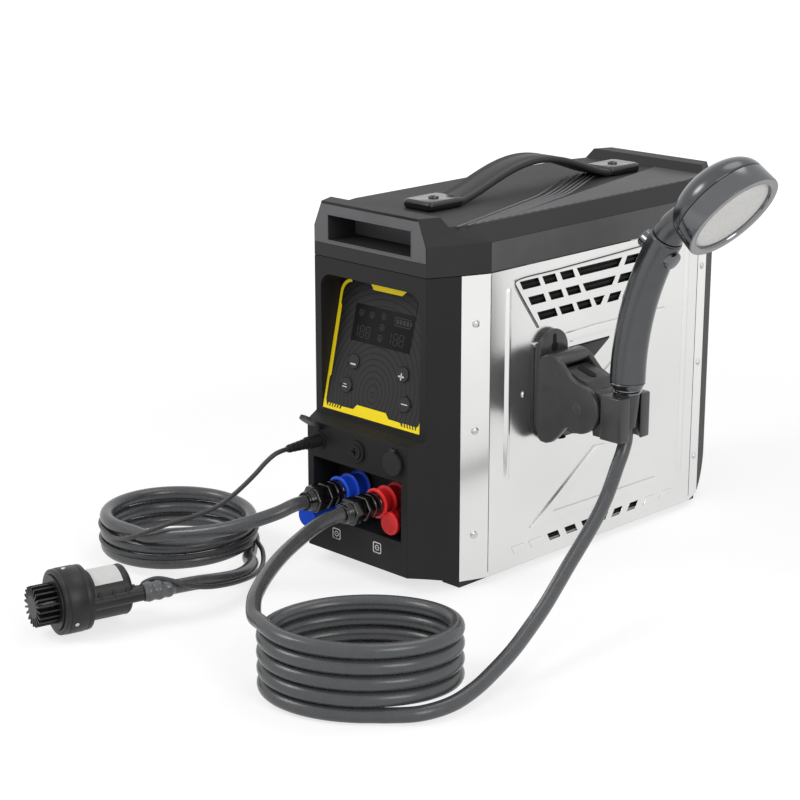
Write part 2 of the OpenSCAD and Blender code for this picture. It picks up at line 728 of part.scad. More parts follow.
module control_overlay() color("#363637") on_case() on_slope(seat_gap) difference() {
    linear_extrude(overlay_t) rounded_panel(bay_w - 0.8, bay_slope - 3, bay_r);
    for (b = button_at)
        translate([b[0], b[1], -1]) cylinder(d = button_d + 2 * well_gap, h = overlay_t + 2);
    translate([window_at[0] - window_size[0] / 2, window_at[1], 0.6])
        cube([window_size[0], window_size[1], overlay_t]);
}

trim_t = 0.5;

module overlay_trim() color("#f4d81c") on_case() on_slope(seat_gap + overlay_t + seat_gap) {
    half = bay_w / 2 - 0.6;
    high = bay_slope - 3.4;
    linear_extrude(trim_t) {
        difference() {
            intersection() {
                rounded_panel(2 * half, high, bay_r);
                translate([-half, 0]) square([14, high]);
            }
            translate([0, -6]) rounded_panel(2 * half - 7, high + 2, bay_r - 1);
            translate([-half + 4.6, 28]) square([20, 64]);
            translate([-half + 3.5, 92]) square([20, 40]);
        }
        polygon([[-half, 0], [half, 0], [half, 24], [half - 2.5, 20], [half - 2.5, 6],
            [half - 7, 4.6], [half - 24, 4.6], [half - 40, 5.4], [half - 44, 10.6],
            [-18, 10.6], [-22, 6], [-half + 24, 5], [-half + 4.4, 4.6], [-half + 3.4, 9],
            [-half, 11]]);
        polygon([[-18, high], [-14, high - 6.4], [18, high - 6.4], [23, high]]);
    }
}

module display_window() color("#1d1e20") on_case() on_slope(seat_gap + 0.65)
    translate([window_at[0] - window_size[0] / 2 + 0.2, window_at[1] + 0.2, 0])
        cube([window_size[0] - 0.4, window_size[1] - 0.4, 0.9]);

module button(i) color("#3a3a3b") on_case() on_slope()
    translate([button_at[i][0], button_at[i][1], 0]) {
    translate([0, 0, button_travel + 0.1])
        cylinder(d = button_d, h = overlay_t + button_rise - button_travel);
    translate([0, 0, -button_l]) cylinder(d = button_d - 4, h = button_l + button_travel + 0.2);
}

module minus_button() button(0);
module plus_button() button(1);
module mode_button() button(2);
module power_button() button(3);

tray_wall = wall - 0.4;
tray_back = tray_wall * 1.1 * cos(bay_tilt);
board_out = -9;

module control_board() color("#1f6b3f") on_case() on_slope(board_out) {
    translate([-50, 6, -1.6]) cube([100, 96, 1.6]);
    for (x = [-46, 46], y = [10, 98])
        translate([x, y, -eps]) cylinder(r = 3, h = -board_out - tray_back - seat_gap + eps);
    for (b = button_at)
        translate([b[0] - 3, b[1] - 3, -eps]) cube([6, 6, 1.2]);
}

// ---- Sockets and fuse ----

module dc_socket_at(x) difference() {
    union() {
        forward(x, socket_z, chin_y - socket_l, chin_y + 1, socket_barrel_r);
        forward(x, socket_z, chin_y + seat_gap, chin_y + 1, socket_barrel_r + 1.2);
        forward(x, socket_z, chin_y - wall - 3, chin_y - wall - seat_gap, socket_barrel_r + 2.5);
    }
    forward(x, socket_z, chin_y - 12, chin_y + 2, socket_bore_r);
}

module dc_sockets() color("#19191a") on_case() {
    dc_socket_at(pump_socket_x);
    dc_socket_at(dc_socket_x);
}

cover_hinge_z = socket_z + cover_r + 0.6;
cover_hinge_y = chin_y + cover_hinge_r + 0.1;

// A round rubber cover hinged at its top, closed over its socket
module socket_cover(x) {
    difference() {
        forward(x, socket_z, chin_y + 1 + seat_gap, chin_y + 1 + cover_t, cover_r, 64);
    }
    translate([x - 3, -chin_y - 1 - cover_t, cover_hinge_z - 3]) cube([6, 2.6, 3]);
    translate([x - 3, -cover_hinge_y, cover_hinge_z]) rotate([0, 90, 0])
        cylinder(r = cover_hinge_r, h = 6, $fn = 24);
}

module turned_open(angle) translate([0, -cover_hinge_y, cover_hinge_z])
    rotate([-angle, 0, 0]) translate([0, cover_hinge_y, -cover_hinge_z]) children();

module dc_socket_cover() color("#1d1d1e") on_case() socket_cover(dc_socket_x);

cover_open = 128;

module pump_socket_cover() color("#1d1d1e") on_case() turned_open(cover_open)
    socket_cover(pump_socket_x);

module fuse_holder() color("#161617") on_case() difference() {
    union() {
        forward(fuse_x, socket_z, chin_y - fuse_l, chin_y + 1, fuse_barrel_r);
        forward(fuse_x, socket_z, chin_y + seat_gap, chin_y + 2, fuse_flange_r);
        forward(fuse_x, socket_z, chin_y - wall - 4, chin_y - wall - seat_gap,
            fuse_barrel_r + 2.5, 6);
    }
    forward(fuse_x, socket_z, chin_y - fuse_l + 4, chin_y + 4, fuse_cap_r + pin_gap);
}

module fuse_cap() color("#202021") on_case() difference() {
    union() {
        forward(fuse_x, socket_z, chin_y - fuse_l + 14, chin_y + 3, fuse_cap_r);
    }
    for (a = [0, 90]) translate([fuse_x, -chin_y - 3.5, socket_z]) rotate([0, a, 0])
        translate([-0.9, 0, -3.6]) cube([1.8, 2.4, 7.2]);
}

// ---- Water ports ----

module water_ports() color("#161617") on_case() for (s = [-1, 1]) difference() {
    union() {
        forward(s * port_x, port_z, recess_back_y - 18, port_end_y, port_r);
        forward(s * port_x, port_z, recess_back_y + seat_gap, recess_back_y + 2, port_r + 3.5);
        forward(s * port_x, port_z, recess_back_y - wall - 5, recess_back_y - wall - seat_gap,
            port_r + 3.5, 6);
    }
    forward(s * port_x, port_z, recess_back_y - 19, port_end_y + 1, port_bore_r);
}

// Rubber sleeve with three flanges, and its hanging cap on a tether
module port_cap(x, disc, disc_y) {
    difference() {
        union() {
            forward(x, port_z, sleeve_ys[0] - 2, sleeve_ys[2] + 1.4, sleeve_r);
            for (y = sleeve_ys) forward(x, port_z, y - 0.8, y + 0.8, sleeve_flange_r, 64);
        }
        forward(x, port_z, sleeve_ys[0] - 3, sleeve_ys[2] + 3, sleeve_r - sleeve_wall);
    }
    a = atan2(disc[1], disc[0]);
    reach = norm(disc);
    translate([x, -sleeve_ys[1] + 2.4, port_z]) rotate([90, 0, 0]) rotate([0, 0, a])
        translate([sleeve_r - 0.6, -3.5, 0]) cube([reach - sleeve_r, 7, 1.8]);
    forward(x + disc[0], port_z + disc[1], sleeve_ys[1] - 2.4, disc_y + 1, 3.4);
    forward(x + disc[0], port_z + disc[1], disc_y, disc_y + cap_disc_t, cap_disc_r, 64);
}

module cold_cap() color("#1740b8") on_case() port_cap(-port_x, cap_disc_at[0], cap_disc_y[0]);
module hot_cap() color("#c81b22") on_case() port_cap(port_x, cap_disc_at[1], cap_disc_y[1]);

module union_nut(x) difference() {
    union() {
        forward(x, port_z, nut_start_y, nut_hex_y, nut_r);
        hex_forward(x, port_z, nut_hex_y - eps, nut_end_y, nut_af);
    }
    forward(x, port_z, nut_start_y - 1, nut_end_y + 1, port_r + pin_gap);
}

module cold_union_nut() color("#131314") on_case() union_nut(-port_x);
module hot_union_nut() color("#131314") on_case() union_nut(port_x);

module hose_fittings() color("#17181a") on_case() for (s = [-1, 1]) difference() {
    union() {
        forward(s * port_x, port_z, port_end_y + seat_gap, fitting_hex_y, port_r);
        hex_forward(s * port_x, port_z, fitting_hex_y - eps, fitting_collar_y, fitting_af);
        forward(s * port_x, port_z, fitting_collar_y - eps, fitting_end_y, fitting_collar_r);
    }
    forward(s * port_x, port_z, port_end_y - 1, fitting_end_y - 2, port_bore_r);
}

// ---- Handle ----

// Height of the strap's middle line above the trough at a share of its length
function strap_mid(s) = strap_t / 2 + strap_lift + strap_rise * pow(max(sin(180 * s), 0), 1.35);

module handle_strap() color("#262627") on_case() {
    steps = 28;
    tail = 14;
    line = concat([[-strap_half - tail, strap_mid(0)]],
        [for (i = [0:steps]) [-strap_half + 2 * strap_half * i / steps, strap_mid(i / steps)]],
        [[strap_half + tail, strap_mid(1)]]);
    n = len(line);
    side = [for (i = [0:n - 1]) let (w = unit(line[min(i + 1, n - 1)] - line[max(i - 1, 0)]))
        [-w[1], w[0]] * strap_t / 2];
    translate([0, strap_mid_y, handle_seat_z])
        across(concat([for (i = [0:n - 1]) line[i] + side[i]],
            [for (i = [n - 1:-1:0]) line[i] - side[i]]), strap_w);
}

module end_cap() difference() {
    translate([-cap_w / 2, 0, 0]) cube([cap_w, cap_l, cap_h]);
    translate([-strap_w / 2 - small_gap, -1, strap_lift - small_gap])
        cube([strap_w + 2 * small_gap, 16, strap_t + 2 * small_gap]);
}

module handle_end_caps() color("#101011") on_case() translate([0, 0, handle_seat_z]) {
    translate([0, strap_rear_y, 0]) end_cap();
    translate([0, -strap_front_y, 0]) mirror([0, 1, 0]) end_cap();
}

// ---- Shower holder ----

module cheek_outline() hull() {
    translate([pivot_x, pivot_z]) circle(r = cheek_r, $fn = 64);
    translate([panel_x + plate_t + 9, plate_z + 13]) circle(r = 9, $fn = 32);
    translate([panel_x + plate_t + 9, plate_z + plate_h - 31]) circle(r = 9, $fn = 32);
}

module holder_base() color("#4c4c4e") on_case() difference() {
    union() {
        translate([panel_x + plate_gap, holder_y - plate_w / 2, plate_z + plate_w / 2 - 10])
            cube([plate_t, plate_w, plate_h - plate_w + 10]);
        for (z = [plate_z + plate_w / 2, plate_z + plate_h - plate_w / 2])
            translate([panel_x + plate_gap, holder_y, z]) rotate([0, 90, 0])
                cylinder(r = plate_w / 2, h = plate_t, $fn = 64);
        translate([0, holder_y + plate_w / 2, 0]) rotate([90, 0, 0])
            linear_extrude(plate_w) cheek_outline();
    }
    translate([pivot_x, holder_y + arm_w / 2 + small_gap, pivot_z]) rotate([90, 0, 0])
        cylinder(r = arm_pocket_r, h = arm_w + 2 * small_gap, $fn = 96);
    translate([pivot_x, holder_y + plate_w / 2 - 2.5, pivot_z]) rotate([90, 0, 0])
        cylinder(r = pivot_r + 0.02, h = plate_w - 5);
    translate([panel_x - 1, holder_y, keyhole_z]) rotate([0, 90, 0]) {
        cylinder(r = 4.2, h = plate_t + 3);
        translate([-9, 0, 0]) cylinder(r = 2.2, h = plate_t + 3);
        translate([-9, -2.2, 0]) cube([9, 4.4, plate_t + 3]);
    }
}

// The arm's side outline in X and Z: barrel, flat tab above it and the block of the clip
module arm_outline() {
    translate([pivot_x, pivot_z]) circle(r = cheek_r - 1.5, $fn = 64);
    polygon([[pivot_x, clip_z], [jaw_end_x, clip_z], [jaw_end_x, clip_z + clip_h],
        [pivot_x + 9, clip_z + clip_h], [pivot_x + 3, pivot_z + 25], [pivot_x - 21, pivot_z + 30],
        [pivot_x - 21, pivot_z + 25], [pivot_x - 10, pivot_z + 18]]);
}

module holder_arm() color("#515153") on_case() difference() {
    union() {
        translate([0, holder_y + arm_w / 2, 0]) rotate([90, 0, 0]) linear_extrude(arm_w)
            arm_outline();
        translate([pivot_x + cheek_r + 1.2, holder_y - jaw_w / 2, clip_z])
            cube([jaw_end_x - pivot_x - cheek_r - 1.2, jaw_w, clip_h]);
    }
    translate([pivot_x, holder_y, pivot_z]) rotate([90, 0, 0])
        translate([0, 0, -arm_w]) cylinder(r = pivot_r + pin_gap, h = 2 * arm_w);
    translate([clip_x, holder_y, nut_end[2]])
        cylinder(r1 = cone_r2 + run_gap, r2 = cone_r1 + run_gap, h = cone_l);
    translate([clip_x, holder_y, clip_z - 1]) cylinder(r = hose_slot / 2, h = clip_h);
    translate([clip_x, holder_y - hose_slot / 2, clip_z - 1])
        cube([20, hose_slot, clip_h + 2]);
    translate([pivot_x - 8, holder_y, pivot_z + 14]) rotate([0, 12, 0]) {
        translate([-7, -3, 0]) cube([14, 6, 20]);
        for (s = [-1, 1]) translate([7 * s, 0, 0]) cylinder(r = 3, h = 20);
    }
}

module holder_pivot() color("#9a9b9d") on_case()
    translate([pivot_x, holder_y + plate_w / 2 - 2.6, pivot_z]) rotate([90, 0, 0])
        cylinder(r = pivot_r, h = plate_w - 5.2);

// ---- Hand shower ----

// A bent tube in the X-Z plane about a centre: bend radius, start and sweep above -X
module bent_tube(x, z, bend, start, sweep, r)
    translate([x, holder_y, z]) rotate([90, 0, 0]) rotate([0, 0, 180 - start - sweep])
        rotate_extrude(angle = sweep, $fn = 360) translate([bend, 0]) circle(r = r, $fn = 48);

// A straight frame across the grip where the stop button sits, Z outward from the bend
module on_stop() translate([bend_x - grip_bend * cos(stop_arc), holder_y,
    grip_z + grip_bend * sin(stop_arc)]) rotate([0, stop_arc - 90, 0]) children();

module handset_grip() color("#6e7073") on_case() difference() {
    bent_tube(bend_x, grip_z, grip_bend, 0, grip_arc, grip_d / 2);
    bent_tube(bend_x, grip_z, grip_bend, -1, grip_arc + 2, grip_bore / 2);
    on_stop() translate([0, 0, -grip_d]) cylinder(d = stop_d + 2 * pin_gap, h = 2 * grip_d);
}

module stop_button() color("#a4a6a8") on_case() on_stop()
    translate([0, 0, -grip_d / 2 - 1]) cylinder(d = stop_d, h = grip_d + 1 + stop_out);

// The spray face: Z points out of it, X up its slope
module on_face() translate([face_x, holder_y, face_z]) rotate([0, 90 + spray_tilt, 0])
    children();

module dome(r, h) {
    big = (r * r + h * h) / (2 * h);
    intersection() {
        translate([0, 0, -h]) translate([0, 0, big]) sphere(r = big, $fn = 96);
        translate([0, 0, -h - 1]) cylinder(r = r, h = h + 1, $fn = 96);
    }
}

module handset_head() color("#8c8e91") on_case() difference() {
    union() {
        on_face() translate([0, 0, -ring_t - small_gap]) dome(head_d / 2 - 1.4, dome_h);
        bent_tube(neck_x, neck_z, neck_bend, grip_arc + 0.05, neck_arc, neck_d / 2);
    }
    on_face() translate([0, 0, -ring_t - 8]) cylinder(r = head_d / 2 - 9, h = 9);
    bent_tube(neck_x, neck_z, neck_bend, grip_arc - 1, neck_arc - 6, grip_bore / 2);
}

module head_ring() color("#9b9da0") on_case() on_face() translate([0, 0, -ring_t])
    difference() {
        cylinder(r1 = head_d / 2 - 1.2, r2 = head_d / 2, h = ring_t, $fn = 96);
        translate([0, 0, 3]) cylinder(r = head_d / 2 - head_wall, h = ring_t, $fn = 96);
        translate([0, 0, -1]) cylinder(r = head_d / 2 - 9, h = 6, $fn = 96);
    }

module spray_plate() color("#d9d6d1") on_case() on_face() translate([0, 0, -ring_t + 3.1])
    cylinder(r = head_d / 2 - head_wall - 0.1, h = ring_t - 5.4, $fn = 96);

module handset_nut() color("#57595b") on_case() translate([clip_x, holder_y, nut_end[2]])
    difference() {
        union() {
            cylinder(r1 = cone_r2, r2 = cone_r1, h = cone_l);
            translate([0, 0, cone_l - eps])
                cylinder(r = cone_r1 - 1, h = grip_z - nut_end[2] - cone_l - 0.1);
                translate([0, 0, cone_l]) cylinder(r = grip_bore / 2 - 0.1, h = 14);
        }
        translate([0, 0, 4]) cylinder(r = 4, h = 60);
    }

// ---- Inside ----

burner_h = 56;
exchanger_z = pan_top + seat_gap + burner_h + seat_gap;
exchanger_h = 124;
fan_z = exchanger_z + exchanger_h;

module heat_exchanger() color("#b8672e") on_case() {
    difference() {
        translate([-52, -40, exchanger_z]) cube([104, 150, exchanger_h]);
        translate([-50, -38, exchanger_z - 1]) cube([100, 146, exchanger_h + 2]);
    }
    for (i = [0:15]) translate([-50 - eps, -34 + 9 * i, 140]) cube([100 + 2 * eps, 1, 44]);
    for (x = [-30, 30]) translate([x, -52, 170]) rotate([-90, 0, 0]) cylinder(r = 6, h = 20);
}

module burner() color("#8d8f92") on_case() {
    difference() {
        translate([-52, -40, pan_top + seat_gap]) cube([104, 150, burner_h]);
        translate([-50, -38, pan_top + 2]) cube([100, 146, 60]);
        translate([-60, 0, pan_top + 12]) cube([120, 70, 24]);
    }
    for (i = [0:8]) translate([-50 - eps, -30 + 16 * i, 46]) cube([100 + 2 * eps, 8, 12]);
}

module gas_valve() color("#a9a36a") on_case() {
    translate([inlet_x - 18, 120, pan_top + seat_gap]) cube([36, 40, 98]);
    translate([inlet_x, 115, 50]) rotate([90, 0, 0]) cylinder(r = 5, h = 5 - seat_gap);
    translate([inlet_x, 121, 50]) rotate([90, 0, 0]) cylinder(r = 7, h = 6);
}

module gas_inlet() color("#c8a24a") on_case() difference() {
    union() {
        translate([inlet_x, 160 + seat_gap, inlet_z]) rotate([-90, 0, 0])
            cylinder(r = 6, h = rear_y - 160);
        translate([inlet_x, rear_y + seat_gap, inlet_z]) rotate([-90, 0, 0])
            cylinder(r = 12.5, h = 5, $fn = 6);
        translate([inlet_x, rear_y + 4.5, inlet_z]) rotate([-90, 0, 0])
            cylinder(r = inlet_r, h = 15.5);
    }
    translate([inlet_x, 160, inlet_z]) rotate([-90, 0, 0]) cylinder(r = 4, h = 90);
}

module fan_housing() color("#aeb0b3") on_case() translate([0, 15, fan_z]) difference() {
    union() {
        difference() {
            translate([-52, -55, 0]) cube([104, 110, 44]);
            translate([0, 0, 4]) cylinder(r = 44, h = 50);
            translate([-60, -25, 17]) cube([120, 50, 60]);
            translate([0, 0, -1]) cylinder(r = 20, h = 20);
        }
        translate([-6, -55, 32]) cube([12, 110, 12]);
        translate([0, 0, 32]) cylinder(r = 12, h = 12);
    }
    translate([0, 0, 31]) cylinder(r = 2 + pin_gap, h = 8);
}

module fan_rotor() color("#55575a") on_case() translate([0, 15, fan_z + 5]) {
    cylinder(r = 38, h = 2);
    cylinder(r = 8, h = 24);
    translate([0, 0, 23]) cylinder(r = 2, h = 9);
    for (a = [0:15:345]) rotate([0, 0, a]) translate([26, -0.8, 1]) cube([11, 1.6, 22]);
}

module battery_pack() color("#2f5f9e") on_case() {
    translate([-case_w / 2 + 4, -60, pan_top + seat_gap]) cube([26, 140, 74]);
    translate([-case_w / 2 + 14, -64, pan_top + 20]) cube([8, 5, 12]);
}

module flow_sensor() color("#3a3c40") on_case() difference() {
    union() {
        forward(-port_x, port_z, 108, recess_back_y - 18 - seat_gap, 11);
        translate([-port_x - 8, -132, port_z]) cube([16, 20, 16]);
    }
    forward(-port_x, port_z, 107, recess_back_y - 17, 5);
}

// A straight run of pipe between two points, and a ball at a bend
module pipe_run(a, b, r) hull() {
    translate(a) sphere(r = r, $fn = 16);
    translate(b) sphere(r = r, $fn = 16);
}

module water_pipes() color("#b5713a") on_case() {
    forward(-port_x, port_z, 76, 108 - seat_gap, 6);
    translate([-30, -76, 170]) rotate([-90, 0, 0]) cylinder(r = 6, h = 24 - seat_gap);
    pipe_run([-port_x, -78, port_z], [-30, -70, 170], 6);
    forward(port_x, port_z, 76, recess_back_y - 18 - seat_gap, 6);
    translate([30, -76, 170]) rotate([-90, 0, 0]) cylinder(r = 6, h = 24 - seat_gap);
    pipe_run([port_x, -78, port_z], [30, -70, 170], 6);
}

// ---- Pump and its cable plug ----

// The pump's frame: X runs along it toward the hose, its origin at the body's rear end
module on_pump() on_case() translate(pump_at) rotate([0, 0, pump_turn]) children();
module along(x1, x2, r, y = 0, z = 0, fn = 48)
    translate([x1, y, z]) rotate([0, 90, 0]) cylinder(r = r, h = x2 - x1, $fn = fn);

module pump_body() color("#202022") on_pump() difference() {
    union() {
        along(-body_l, -3, pump_d / 2);
        translate([-3, 0, 0]) rotate([0, 90, 0]) cylinder(r1 = pump_d / 2, r2 = pump_d / 2 - 3, h = 3);
        along(-body_l - collar_l, -body_l, collar_d / 2);
        along(-body_l - 1, outlet_past - seat_gap, outlet_r, -outlet_side);
        along(-1, gland_l, 3.4, gland_y, 2);
        for (x = [-30, -18, -6])
            translate([x, -outlet_side, 0]) rotate([90, 0, 90]) linear_extrude(2)
                polygon([[0, 0], [0, 5], [13, 15], [13, 0]]);
    }
    along(-body_l - collar_l - 1, -body_l - 8, collar_d / 2 - 4);
    along(-body_l - 9, -body_l - 2, 1.5 + pin_gap);
    along(-3, outlet_past - 1, 0.5, -outlet_side);
}

module pump_impeller() color("#c9c9c4") on_pump() {
    along(-body_l - 12, -body_l - 8.6, collar_d / 2 - 6);
    along(-body_l - 16, -body_l - 9, 4);
    along(-body_l - 9, -body_l - 3, 1.5);
    for (a = [0:60:300]) rotate([a, 0, 0])
        translate([-body_l - 16, 3, -0.8]) cube([5, collar_d / 2 - 10, 1.6]);
}

module pump_strainer() color("#1b1b1d") on_pump() {
    tip = -body_l - collar_l - strainer_l;
    difference() {
        along(-body_l - collar_l - 2, -body_l - collar_l + 2, collar_d / 2 - 4 - small_gap);
        along(-body_l - collar_l - 3, -body_l - collar_l + 3, 7);
    }
    along(tip, tip + 2.5, 9.5);
    for (i = [0:fins - 1]) rotate([360 * i / fins, 0, 0])
        translate([tip, 8.5, -0.75]) cube([strainer_l, strainer_d / 2 - 8.5, 1.5]);
}

module pump_plug() color("#1a1a1b") on_case() {
    forward(pump_socket_x, socket_z, chin_y - 9, chin_y + 2, socket_bore_r - 0.05);
    forward(pump_socket_x, socket_z, chin_y + 1 + seat_gap, chin_y + 15, 5.6);
    for (i = [0:3])
        forward(pump_socket_x, socket_z, chin_y + 17 + 5 * i, chin_y + 20 + 5 * i, 4.6 - 0.3 * i);
    forward(pump_socket_x, socket_z, chin_y + 14, -plug_end[1], 3.2);
}

// ---- Hoses and cable ----

module cold_hose_lead() color("#5b5c5e") on_case() tube(cold_lead_points, hose_r, 8);
module cold_hose_coil() color("#5b5c5e") on_case() tube(cold_coil_points, hose_r, 6);
module cold_hose_tail() color("#5b5c5e") on_case() tube(cold_tail_points, hose_r, 8);
module pump_cable_lead() color("#2a2a2b") on_case() tube(cable_lead_points, cable_r, 8);
module pump_cable_coil() color("#2a2a2b") on_case() tube(cable_coil_points, cable_r, 6);
module pump_cable_tail() color("#2a2a2b") on_case() tube(cable_tail_points, cable_r, 8);
module hot_hose_lead() color("#5b5c5e") on_case() tube(hot_lead_points, hose_r, 8);
module hot_hose_coil() color("#5b5c5e") on_case() tube(hot_coil_points, hose_r, 6);
module hot_hose_rise() color("#5b5c5e") on_case() tube(hot_rise_points, hose_r, 8);

front_housing();
right_panel();
left_panel();
rear_cover();
top_cover();
bottom_pan();
feet();
casing_screws();
control_overlay();
overlay_trim();
display_window();
minus_button();
plus_button();
mode_button();
power_button();
control_board();
dc_sockets();
pump_socket_cover();
dc_socket_cover();
fuse_holder();
fuse_cap();
water_ports();
cold_cap();
hot_cap();
cold_union_nut();
hot_union_nut();
hose_fittings();
handle_strap();
handle_end_caps();
holder_base();
holder_arm();
holder_pivot();
handset_grip();
handset_head();
head_ring();
spray_plate();
stop_button();
handset_nut();
heat_exchanger();
burner();
gas_valve();
gas_inlet();
fan_housing();
fan_rotor();
battery_pack();
flow_sensor();
water_pipes();
pump_body();
pump_strainer();
pump_impeller();
pump_plug();
cold_hose_lead();
cold_hose_coil();
cold_hose_tail();
pump_cable_lead();
pump_cable_coil();
pump_cable_tail();
hot_hose_lead();
hot_hose_coil();
hot_hose_rise();
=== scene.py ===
import json
from math import atan2, cos, pi, radians, sin, sqrt

import bmesh
import bpy
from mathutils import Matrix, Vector


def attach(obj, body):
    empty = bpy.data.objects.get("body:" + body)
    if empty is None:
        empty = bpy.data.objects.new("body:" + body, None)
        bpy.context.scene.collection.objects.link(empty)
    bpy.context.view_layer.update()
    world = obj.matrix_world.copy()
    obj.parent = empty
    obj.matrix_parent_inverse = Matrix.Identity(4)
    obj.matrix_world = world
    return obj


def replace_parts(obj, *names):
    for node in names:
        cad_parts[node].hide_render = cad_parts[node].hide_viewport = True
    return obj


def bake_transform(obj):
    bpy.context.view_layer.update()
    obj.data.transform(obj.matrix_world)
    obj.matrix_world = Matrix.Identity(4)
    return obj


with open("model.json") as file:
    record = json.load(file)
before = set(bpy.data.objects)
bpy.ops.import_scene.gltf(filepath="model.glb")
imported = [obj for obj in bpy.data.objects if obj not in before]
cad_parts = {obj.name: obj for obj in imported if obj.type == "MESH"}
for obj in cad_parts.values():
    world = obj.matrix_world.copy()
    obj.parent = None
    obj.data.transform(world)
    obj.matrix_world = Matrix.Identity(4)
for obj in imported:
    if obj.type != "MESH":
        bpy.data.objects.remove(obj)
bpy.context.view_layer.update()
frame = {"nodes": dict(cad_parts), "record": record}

# Millimetres in the case's own frame become metres in the row's frame.
CASE, UP = Vector((-106.28, -3.5, 0)), Vector((0, 0, 1))


def at(x, y, z):
    return (Vector((x, y, z)) + CASE) / 1000


SLOT = {s["node"]: s["material_slot"] for s in frame["record"]["subparts"]}


def show(name, data):
    ob = bpy.data.objects.new(name, data)
    bpy.context.scene.collection.objects.link(ob)
    return ob


# ---- Materials ----

def rgb(r, g, b):
    def lin(c):
        c /= 255
        return c / 12.92 if c <= 0.04045 else ((c + 0.055) / 1.055) ** 2.4
    return (lin(r), lin(g), lin(b), 1)


def put(tree, kind, links=(), **values):
    """A new shader node with its input values and the outputs that feed its other inputs."""
    node = tree.nodes.new("ShaderNode" + kind)
    for key, value in values.items():
        node.inputs[key.replace("_", " ")].default_value = value
    for key, source in dict(links).items():
        tree.links.new(source, node.inputs[key])
    return node


def surface(name, colour, rough, metal=0.0, spec=0.5, grain=0.3, scale=1800, depth=0.00015,
            cloud=0.08, cloud_scale=30, rough_var=0.06, edge=0.0, stretch=(1, 1, 1),
            wave=0.0, wave_scale=9):
    """A moulded, painted or metal surface: clouded colour and gloss, fine grain, soft waviness."""
    m = bpy.data.materials.new(name)
    m.use_nodes = True
    tree = m.node_tree
    bsdf = tree.nodes["Principled BSDF"].inputs
    bsdf["Metallic"].default_value = metal
    bsdf["Specular IOR Level"].default_value = spec
    coord = put(tree, "TexCoord").outputs["Object"]
    place = put(tree, "Mapping", {"Vector": coord}, Scale=stretch).outputs["Vector"]
    clouds = put(tree, "TexNoise", {"Vector": coord}, Scale=cloud_scale, Detail=4).outputs["Fac"]
    ramp = put(tree, "ValToRGB", {"Fac": clouds})
    for end, spot, share in zip(ramp.color_ramp.elements, (0.3, 0.7), (1 - cloud, 1 + cloud)):
        end.position = spot
        end.color = tuple(min(1, c * share) for c in colour[:3]) + (1,)
    gloss = put(tree, "MapRange", {"Value": clouds}, To_Min=max(0.02, rough - rough_var),
                To_Max=min(1, rough + rough_var))
    normal = {}
    if edge:
        bevel = put(tree, "Bevel", Radius=edge)
        bevel.samples = 4
        normal = {"Normal": bevel.outputs["Normal"]}
    if wave:
        soft = put(tree, "TexNoise", {"Vector": place}, Scale=wave_scale, Detail=1)
        wavy = put(tree, "Bump", {"Height": soft.outputs["Fac"], **normal}, Strength=1,
                   Distance=wave)
        normal = {"Normal": wavy.outputs["Normal"]}
    fine = put(tree, "TexNoise", {"Vector": place}, Scale=scale, Detail=2)
    bump = put(tree, "Bump", {"Height": fine.outputs["Fac"], **normal}, Strength=grain,
               Distance=depth)
    for source, key in ((ramp.outputs["Color"], "Base Color"),
                        (gloss.outputs["Result"], "Roughness"), (bump.outputs["Normal"], "Normal")):
        tree.links.new(source, bsdf[key])
    return m


# The control bay's slope: its lower front edge and its lean; u across, v up, w out of it
BAY_Y, BAY_Z, TILT = -171, 139, 0.223477


def on_slope(u, v, w):
    return at(u, BAY_Y + v * sin(TILT) - w * cos(TILT), BAY_Z + v * cos(TILT) + w * sin(TILT))


# Contour lines of the control film: middle on the slope, narrowing across, step in metres
LINES_MID, LINES_NARROW, LINES_STEP = (-1.7, 22, 1.4), 0.80, 0.0058


def overlay_surface():
    """The printed control film: dark grey with fine oval contour lines round a low middle."""
    m = surface("overlay_film", rgb(40, 40, 42), 0.5, spec=0.3, grain=0.15, edge=0.0003)
    tree = m.node_tree
    bsdf = tree.nodes["Principled BSDF"]
    ramp = bsdf.inputs["Base Color"].links[0].from_node
    coord = put(tree, "TexCoord").outputs["Object"]
    split = put(tree, "SeparateXYZ", {"Vector": coord}).outputs

    def op(kind, a, b=0):
        n = put(tree, "Math")
        n.operation = kind
        for i, v in enumerate((a, b)):
            if isinstance(v, (int, float)):
                n.inputs[i].default_value = v
            else:
                tree.links.new(v, n.inputs[i])
        return n.outputs[0]

    mid = on_slope(*LINES_MID)
    dx = op("MULTIPLY", op("SUBTRACT", split["X"], mid.x), 1 / LINES_NARROW)
    dz = op("SUBTRACT", split["Z"], mid.z)
    wobble = put(tree, "TexNoise", {"Vector": coord}, Scale=14, Detail=1).outputs["Fac"]
    far = op("SQRT", op("ADD", op("MULTIPLY", dx, dx), op("MULTIPLY", dz, dz)))
    far = op("ADD", far, op("MULTIPLY", wobble, 0.012))
    wave = op("SINE", op("MULTIPLY", far, 2 * pi / LINES_STEP))
    lines = put(tree, "MapRange", {"Value": wave}, From_Min=0.55, From_Max=0.95)
    mix = put(tree, "Mix")
    mix.data_type = "RGBA"
    tree.links.new(lines.outputs["Result"], mix.inputs["Factor"])
    tree.links.new(ramp.outputs["Color"], mix.inputs["A"])
    mix.inputs["B"].default_value = rgb(12, 12, 13)
    tree.links.new(mix.outputs["Result"], bsdf.inputs["Base Color"])
    return m


M = {}


def look(key, colour, rough, name=None, **more):
    M[key] = surface(name or key, rgb(*colour), rough, **more)


